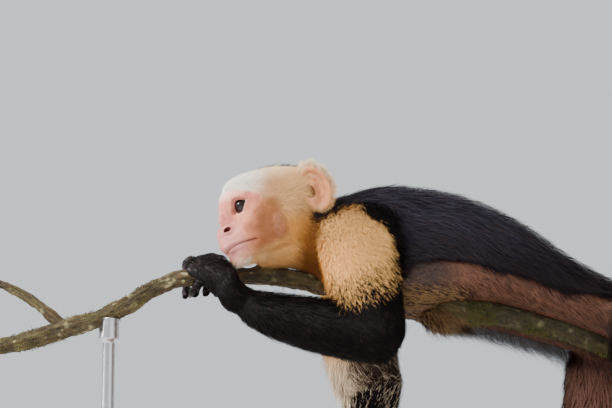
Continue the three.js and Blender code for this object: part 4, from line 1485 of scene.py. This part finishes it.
def add_eye(side, gaze_turn, material):
    """An eyeball with a bulging cornea: dark brown, with a paler ring in the iris, a black pupil and a brown rim."""
    gaze = unit(rotate(np.array([1.0, 0, -0.1]), (0, 0, 1), gaze_turn))
    u = unit(np.cross((0, 0, 1), gaze))
    rings, spokes = 60, 72
    a, b = np.meshgrid(np.linspace(0, np.pi * 0.62, rings), np.arange(spokes) * 2 * np.pi / spokes, indexing="ij")
    cornea = step(a, np.radians(43), np.radians(20))
    radius = EYE_RADIUS - 0.15 + 0.75 * cornea * np.cos(a * 1.5)
    local = np.stack([np.cos(a), np.sin(a) * np.cos(b), np.sin(a) * np.sin(b)], -1) * radius[..., None]
    pts = local.reshape(-1, 3) @ np.array([gaze, u, np.cross(gaze, u)]) + EYE_AT * (MIRROR if side < 0 else 1)
    r, b = (np.sin(a) * EYE_RADIUS).ravel(), b.ravel()
    fibre = 0.75 + 0.4 * np.abs(np.sin(b * 17 + 2 * np.sin(b * 5)))
    iris = srgb(27, 15, 10)[None] * fibre[:, None] * (0.6 + 0.9 * bump(r, 3.1, 1.0))[:, None]
    white = paint(flat((44, 28, 23), len(r)), ((84, 60, 50), step(r, 6.6, 7.8)))  # a monkey's is brown
    out = blend(white, iris, step(r, 5.5, 5.1))
    out = paint(out, ((18, 10, 8), bump(r, 5.3, 0.35)), ((4, 3, 3), step(r, 2.8, 2.5)))
    end = "left" if side > 0 else "right"
    quads = bands(rings, spokes)[:, [0, 3, 2, 1]]
    ob = add_mesh("eyeball_" + end, from_head(pts), quads, material, tint=out)
    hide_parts("eye_" + end)


def add_nails(material):
    """A curved nail with two faces and an edge on every digit."""
    across, along = 9, 8
    size = across * along
    at = np.arange(size).reshape(along, across)
    cell = np.stack([at[:-1, :-1], at[:-1, 1:], at[1:, 1:], at[1:, :-1]], -1).reshape(-1, 4)
    both = np.stack([cell, cell[:, [0, 3, 2, 1]] + size], 1).reshape(-1, 4)
    rim = np.concatenate([at[0], at[1:, -1], at[-1, -2::-1], at[-2:0:-1, 0]])
    wall = np.stack([np.roll(rim, -1), rim, rim + size, np.roll(rim, -1) + size], 1)
    t, e = np.meshgrid(np.arange(along) / (along - 1), np.arange(across) / (across - 1) * 2 - 1, indexing="ij")
    t, e = t.ravel(), e.ravel()
    e = e * np.radians(56) * (1 - 0.42 * t ** 2.2)
    v, f = [], []
    for tip, way, back, r in TIPS:
        side = np.cross(way, back)
        for layer in (0, 1):
            up = r + 0.28 - 0.6 * layer - 0.35 * (1 - t) - np.maximum(0, t - 0.55) ** 2 * 3.2
            bent = back * (np.cos(e) * up)[:, None] + side * (np.sin(e) * up)[:, None]
            v.append(tip + way * (-2.6 + 6.8 * t)[:, None] + bent)
        f.append(np.concatenate([both, wall]) + len(f) * 2 * size)
    v = np.concatenate(v)
    tint = srgb(52, 42, 40)[None] * (0.8 + 0.25 * noise(v, 2.0, 61))[:, None]
    add_mesh("nails", v, np.concatenate(f), material, tint=tint)


# ---- Branch and stand -----------------------------------------------------------------------------------
def bark_relief(p, t, angle, seed):
    """How far bark stands out: long ridges, knots, flakes and lumps of moss."""
    q = np.column_stack([t * 0.28, np.cos(angle) * 9, np.sin(angle) * 9])
    ridges = noise(q, 2.4, seed) * 0.6 + noise(q, 1.1, seed + 1) * 0.35
    lumps = noise(p, 17, seed + 2) * 0.8 + noise(p, 6, seed + 3) * 0.5 + 0.25 * noise(p, 2.4, seed + 4)
    return 1.5 * ridges + lumps


# Each knot's place along the branch, its angle round it, its height and its width.
KNOTS = [
    (-106, 95, 3.2, 5.5), (-60, -120, 2.4, 6), (-228, 60, 2.2, 5), (-204, -100, 2.0, 6), (62, -70, 2.6, 7),
    (180, -80, 2.8, 8), (262, -110, 3.0, 8),
]
BARK_SEED, TWIG_SEED = 81, 91


def moss_cover(p):
    """Where moss and lichen grow on the branch: thick under the body, in patches elsewhere."""
    body = step(p[:, 0], -10, 60)
    patch = step(noise(p, 22, 71) + 0.35 * noise(p, 7, 72), 0.05, 0.45)
    return np.clip(0.25 * patch + body * (0.35 + 0.6 * patch), 0, 1)


def add_branch(name, stations, material, knots, seed, node_name):
    """A branch with bark relief and cut ends. Returns its bark's points, how mossy they are, and which way is out."""
    tube = Tube(stations)
    rows = int(tube.run[-1] / (1.1))
    spokes = 84
    along = np.linspace(0, tube.run[-1], rows)

    def sampled(values):
        return np.column_stack([np.interp(along, tube.run, column) for column in values.T])

    turn, row = np.meshgrid(np.arange(spokes) * 2 * np.pi / spokes, np.arange(rows))
    turn, row = turn.ravel(), row.ravel()
    centre, at = sampled(tube.c)[row], along[row]
    radius = np.interp(along, tube.run, tube.r[:, 0])[row]
    out = np.cos(turn)[:, None] * sampled(tube.side)[row] + np.sin(turn)[:, None] * sampled(tube.up)[row]
    base = centre + out * radius[:, None]
    relief = bark_relief(base, at, turn, seed)
    for x, degrees, high, wide in knots:
        gap = np.hypot(base[:, 0] - x, np.angle(np.exp(1j * (turn - np.radians(degrees)))) * radius)
        relief = relief + high * np.exp(-(gap / wide) ** 2) - high * 0.6 * np.exp(-(gap / (wide * 0.4)) ** 2)
    cover = moss_cover(base)
    relief = relief - 0.4 + cover * (0.5 + 0.5 * noise(base, 3, seed + 5))
    end = np.minimum(at, tube.run[-1] - at)
    v = centre + out * (radius + np.clip(relief, -1.8, 3.2) - 0.35 * step(end, 1.2, 0))[:, None]
    rings, colours, faces = [v], [bark_colour(v, relief, cover)], [bands(rows, spokes)]
    count = len(v)
    for first, flip in ((0, False), (len(v) - spokes, True)):  # the cut ends: rings of wood inside the bark
        last = first + np.arange(spokes)
        edge = v[last]
        middle = edge.mean(0)
        for share in (0.86, 0.6, 0.35, 0.12):
            rings.append(middle + (edge - middle) * share)
            colours.append(flat((196, 168, 122), spokes) * (0.8 + 0.2 * (share * 10 % 2)))
            new = count + np.arange(spokes)
            quad = np.stack([last, np.roll(last, -1), np.roll(new, -1), new], 1)
            faces.append(quad if flip else quad[:, ::-1])
            last = new
            count += spokes
        rings.append(middle[None])
        colours.append(srgb(150, 118, 80)[None])
        tip = np.stack([last, np.roll(last, -1), np.full(spokes, count), np.full(spokes, count)], 1)
        faces.append(tip if flip else tip[:, [1, 0, 2, 3]])
        count += 1
    tri = triangles(np.concatenate(faces))
    tri = tri[(tri[:, 0] != tri[:, 1]) & (tri[:, 1] != tri[:, 2]) & (tri[:, 0] != tri[:, 2])]
    ob = add_mesh(name, np.concatenate(rings), tri, material, tint=np.concatenate(colours))
    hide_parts(node_name)
    return v, cover, out


def bark_colour(v, relief, cover):
    """Brown bark with grey and pale patches, olive where moss grows, with painted shade in its grooves, painted light
    on its ridges and painted shade under the body.
    """
    out = paint(
        flat((70, 54, 24), len(v)),
        ((94, 82, 44), step(noise(v, 9, 73), 0.0, 0.5)),
        ((156, 146, 104), step(noise(v, 6, 74) + 0.5 * noise(v, 2.5, 75), 0.42, 0.95)),
        ((70, 62, 18), cover),
    )
    # painted shade under the animal's body, then painted shade in the grooves and painted light on the ridges
    shaded = 1 - 0.45 * step(v[:, 0], 20, 100)
    return out * ((0.5 + 0.75 * step(relief, -1.4, 1.6)) * shaded)[:, None]


def bark_material():
    m, tree, bsdf, grain = tinted("bark", {"Roughness": 0.85}, (420.0, 5.0, 0.25, 0.75, 0.6, 1.3))
    add_relief(tree, bsdf, grain, 0.5, 0.0006)
    return m


def add_moss(v, cover, out, material):
    """Short leafy tufts of moss on the branch."""
    count = 20000
    p = np.cumsum(cover ** 1.5 * (np.abs(v[:, 0] + 60) < 320))
    pick = np.searchsorted(p, rng.random(count) * p[-1])
    root, normal = v[pick] + rng.normal(0, 0.4, (count, 3)), out[pick]
    lie = unit(normal + rng.normal(0, 0.75, (count, 3)))
    length, width = 0.9 + 2.0 * rng.random(count) ** 2, 0.25 + 0.3 * rng.random(count)
    side = unit(np.cross(lie, rng.normal(0, 1, (count, 3))))
    line = [root - normal * 0.4, root + lie * (length * 0.6)[:, None], root + lie * length[:, None] - (0, 0, 0.4)]
    shade = (0.7 + 0.6 * rng.random(count))[:, None]
    tone = np.where(rng.random(count)[:, None] < 0.75, srgb(82, 80, 26), srgb(92, 70, 38)) * shade
    tint = tone[:, None, :] * np.array([0.6, 0.6, 1.0, 1.0, 1.3])[None, :, None]
    coat = dict(pts=ribbon(line, side, width, 0.7), tint=tint)
    uv = np.column_stack([(root[:, 0] + 330) / 700, 0.5 + 0.4 * normal[:, 2]])
    add_tufts("branch_moss", coat, np.arange(count), uv, material)


def wood_material():
    look = {"Roughness": 0.35, "Coat Weight": 0.4, "Coat Roughness": 0.2}
    m, tree, bsdf = new_material("varnished_board", look)
    coords = node(tree, "ShaderNodeTexCoord")
    along = node(tree, "ShaderNodeMapping", {"Vector": coords.outputs["Object"], "Scale": (1.2, 16.0, 16.0)})
    figure = {"Vector": along.outputs["Vector"], "Scale": 3.2, "Detail": 6.0, "Distortion": 0.7}
    wave = node(tree, "ShaderNodeTexNoise", figure)
    ramp = node(tree, "ShaderNodeValToRGB", {"Fac": wave.outputs["Fac"]})
    for stop, position, colour in zip(ramp.color_ramp.elements, (0.3, 0.72), ((70, 42, 24), (142, 92, 54))):
        stop.position, stop.color = position, (*srgb(*colour), 1)
    tree.links.new(ramp.outputs["Color"], bsdf.inputs["Base Color"])
    add_relief(tree, bsdf, wave.outputs["Fac"], 0.08, 0.0005)
    return m


def steel_material():
    m, tree, bsdf = new_material("satin_steel", {"Base Color": (0.48, 0.48, 0.49, 1), "Metallic": 1.0})
    grain = texture(tree, 240.0, Detail=3.0)
    tree.links.new(stretched(tree, grain.outputs["Fac"], 0.26, 0.4), bsdf.inputs["Roughness"])
    return m


def lathe(profile, x, y, spokes=48):
    """A turned form from (radius, height) pairs, in world mm."""
    ang = np.arange(spokes) * 2 * np.pi / spokes
    v = np.array([(x + r * np.cos(a), y + r * np.sin(a), z) for r, z in profile for a in ang])
    tri = triangles(bands(len(profile), spokes))
    return v, tri[np.linalg.norm(slants(v, tri), axis=1) > 1e-6]


def softened(profile, size):
    """Rounds a profile's corners."""
    out = []
    for k, (r, z) in enumerate(profile):
        if k in (0, len(profile) - 1) or r == 0:
            out.append((r, z))
            continue
        here = np.array([r, z])
        before, after = np.array(profile[k - 1]) - here, np.array(profile[k + 1]) - here
        s = min(size, np.linalg.norm(before) / 2.2, np.linalg.norm(after) / 2.2)
        a, b = here + unit(before) * s, here + unit(after) * s
        for t in (0, 0.25, 0.5, 0.75, 1):
            out.append(tuple(a * (1 - t) ** 2 + here * 2 * t * (1 - t) + b * t * t))
    return out


POSTS = {"stand_rod_front": -226.0, "stand_rod_rear": 264.0}  # where each stands along the branch
POST_RADIUS, FLANGE_RADIUS, SADDLE_RADIUS = 5, 17, 8
BOARD_LENGTH, BOARD_WIDTH, BOARD_THICK, BOARD_CORNER, BOARD_BEVEL = 600, 230, 16, 28, 2.0
POST_FOOT = BOARD_THICK + 0.35


def add_posts():
    steel = steel_material()
    for name, x in POSTS.items():
        y, z, r = branch_at(x)
        top = PERCH_HEIGHT + z
        under = top - r
        profile = [
            (0, POST_FOOT), (FLANGE_RADIUS, POST_FOOT), (FLANGE_RADIUS, POST_FOOT + 4),
            (FLANGE_RADIUS - 3, POST_FOOT + 6), (POST_RADIUS, POST_FOOT + 6), (POST_RADIUS, under - 16), (SADDLE_RADIUS, under - 13),
            (SADDLE_RADIUS, top - 0.5 * r), (0, top - 0.5 * r),
        ]
        v, f = lathe(softened(profile, 1.0), x, y)
        # the collar is hollowed to the branch
        high = v[:, 2] > under - 10
        by, bz, br = branch_at(v[:, 0])
        aside = np.clip(np.abs(v[:, 1] - by) / (br + 0.4), 0, 1)
        saddle = PERCH_HEIGHT + bz - (br + 0.4) * np.sqrt(1 - aside ** 2)
        v[high, 2] = np.minimum(v[high, 2], saddle[high])
        ob = add_mesh(name.replace("rod", "post"), v * MM, f, steel, world=True)
        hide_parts(name)


def add_board():
    """A board with round corners and bevelled edges, its faces closed by fans from their middles."""
    quarter = np.linspace(0, np.pi / 2, 13)
    outline = []
    for sx, sy, start in ((1, 1, 0), (-1, 1, 0.5), (-1, -1, 1), (1, -1, 1.5)):
        middle = np.array([sx * (BOARD_LENGTH / 2 - BOARD_CORNER), sy * (BOARD_WIDTH / 2 - BOARD_CORNER)])
        for a in quarter + start * np.pi:
            way = np.array([np.cos(a), np.sin(a)])
            outline.append((*(middle + BOARD_CORNER * way), *way))
    outline = np.array(outline)
    bends = np.linspace(0, np.pi / 2, 5)
    profile = [(40, 0)]
    profile += [(BOARD_BEVEL * (1 - np.sin(t)), BOARD_BEVEL * (1 - np.cos(t))) for t in bends]
    profile += [(BOARD_BEVEL * (1 - np.cos(t)), BOARD_THICK - BOARD_BEVEL * (1 - np.sin(t))) for t in bends]
    profile += [(24, BOARD_THICK)]
    n = len(outline)
    rings = [np.column_stack([outline[:, :2] - outline[:, 2:] * inset, np.full(n, z)]) for inset, z in profile]
    v = np.vstack([*rings, (0, 0, BOARD_THICK), (0, 0, 0)])
    here, there = np.arange(n), (np.arange(n) + 1) % n
    last = (len(rings) - 1) * n
    fan = np.stack([np.full(n, last + n), last + here, last + there], 1)
    low = np.stack([np.full(n, last + n + 1), there, here], 1)
    tri = np.concatenate([triangles(bands(len(rings), n)), fan, low])
    ob = add_mesh("stand_board", v * MM, tri, wood_material(), smooth=False, world=True)
    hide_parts("stand_base")


# ---- Putting it together --------------------------------------------------------------------------------
make_camera()
make_stage()

FLESH = [
    "head", "neck", "chest", "abdomen", "pelvis", "tail_1", "tail_2", "tail_3", "tail_4", "ear_left", "ear_right",
]
for limb in ("upper_arm", "forearm", "hand", "thigh", "shank", "foot"):
    FLESH += [limb + "_left", limb + "_right"]

skin_v, skin_f = make_skin()
skin_n = vertex_normals(skin_v, skin_f)
place = describe(skin_v, skin_n)
skin_tint = skin_colours(skin_v, place)
skin = add_mesh("skin", skin_v, skin_f, skin_material(), tint=skin_tint)
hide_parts(*FLESH)

coat = grow_coat(skin_v, skin_f, skin_n, place)
fur = tinted("coat", {"Roughness": 0.5, "Specular IOR Level": 0.06})[0]
uv = tuft_map(coat["root"], owners(coat["root"]))
region = np.array([REGION_OF[kind(k)] for k in place["names"]])[coat["corner"]]
for k, name in enumerate(REGIONS):
    mine = np.flatnonzero(region == k)
    pieces = max(1, int(np.ceil(len(mine) * len(FACES) / MOST_TRIANGLES)))
    order = mine[np.argsort(coat["root"][mine, 0])]
    for i, on in enumerate(np.array_split(order, pieces)):
        add_tufts(f"coat_{name}_{i + 1}", coat, on, uv, fur)

eye = tinted("eye", {"Roughness": 0.04, "Specular IOR Level": 0.3})[0]
add_eye(1, 12, eye)
add_eye(-1, 7, eye)
add_nails(tinted("nail", {"Roughness": 0.32})[0])
bark = bark_material()
branch_points, branch_cover, branch_out = add_branch("branch", BRANCH, bark, KNOTS, BARK_SEED, "perch_branch")
add_branch("twig", TWIG, bark, [], TWIG_SEED, "perch_twig")
add_moss(branch_points, branch_cover, branch_out, bark)
add_posts()
add_board()
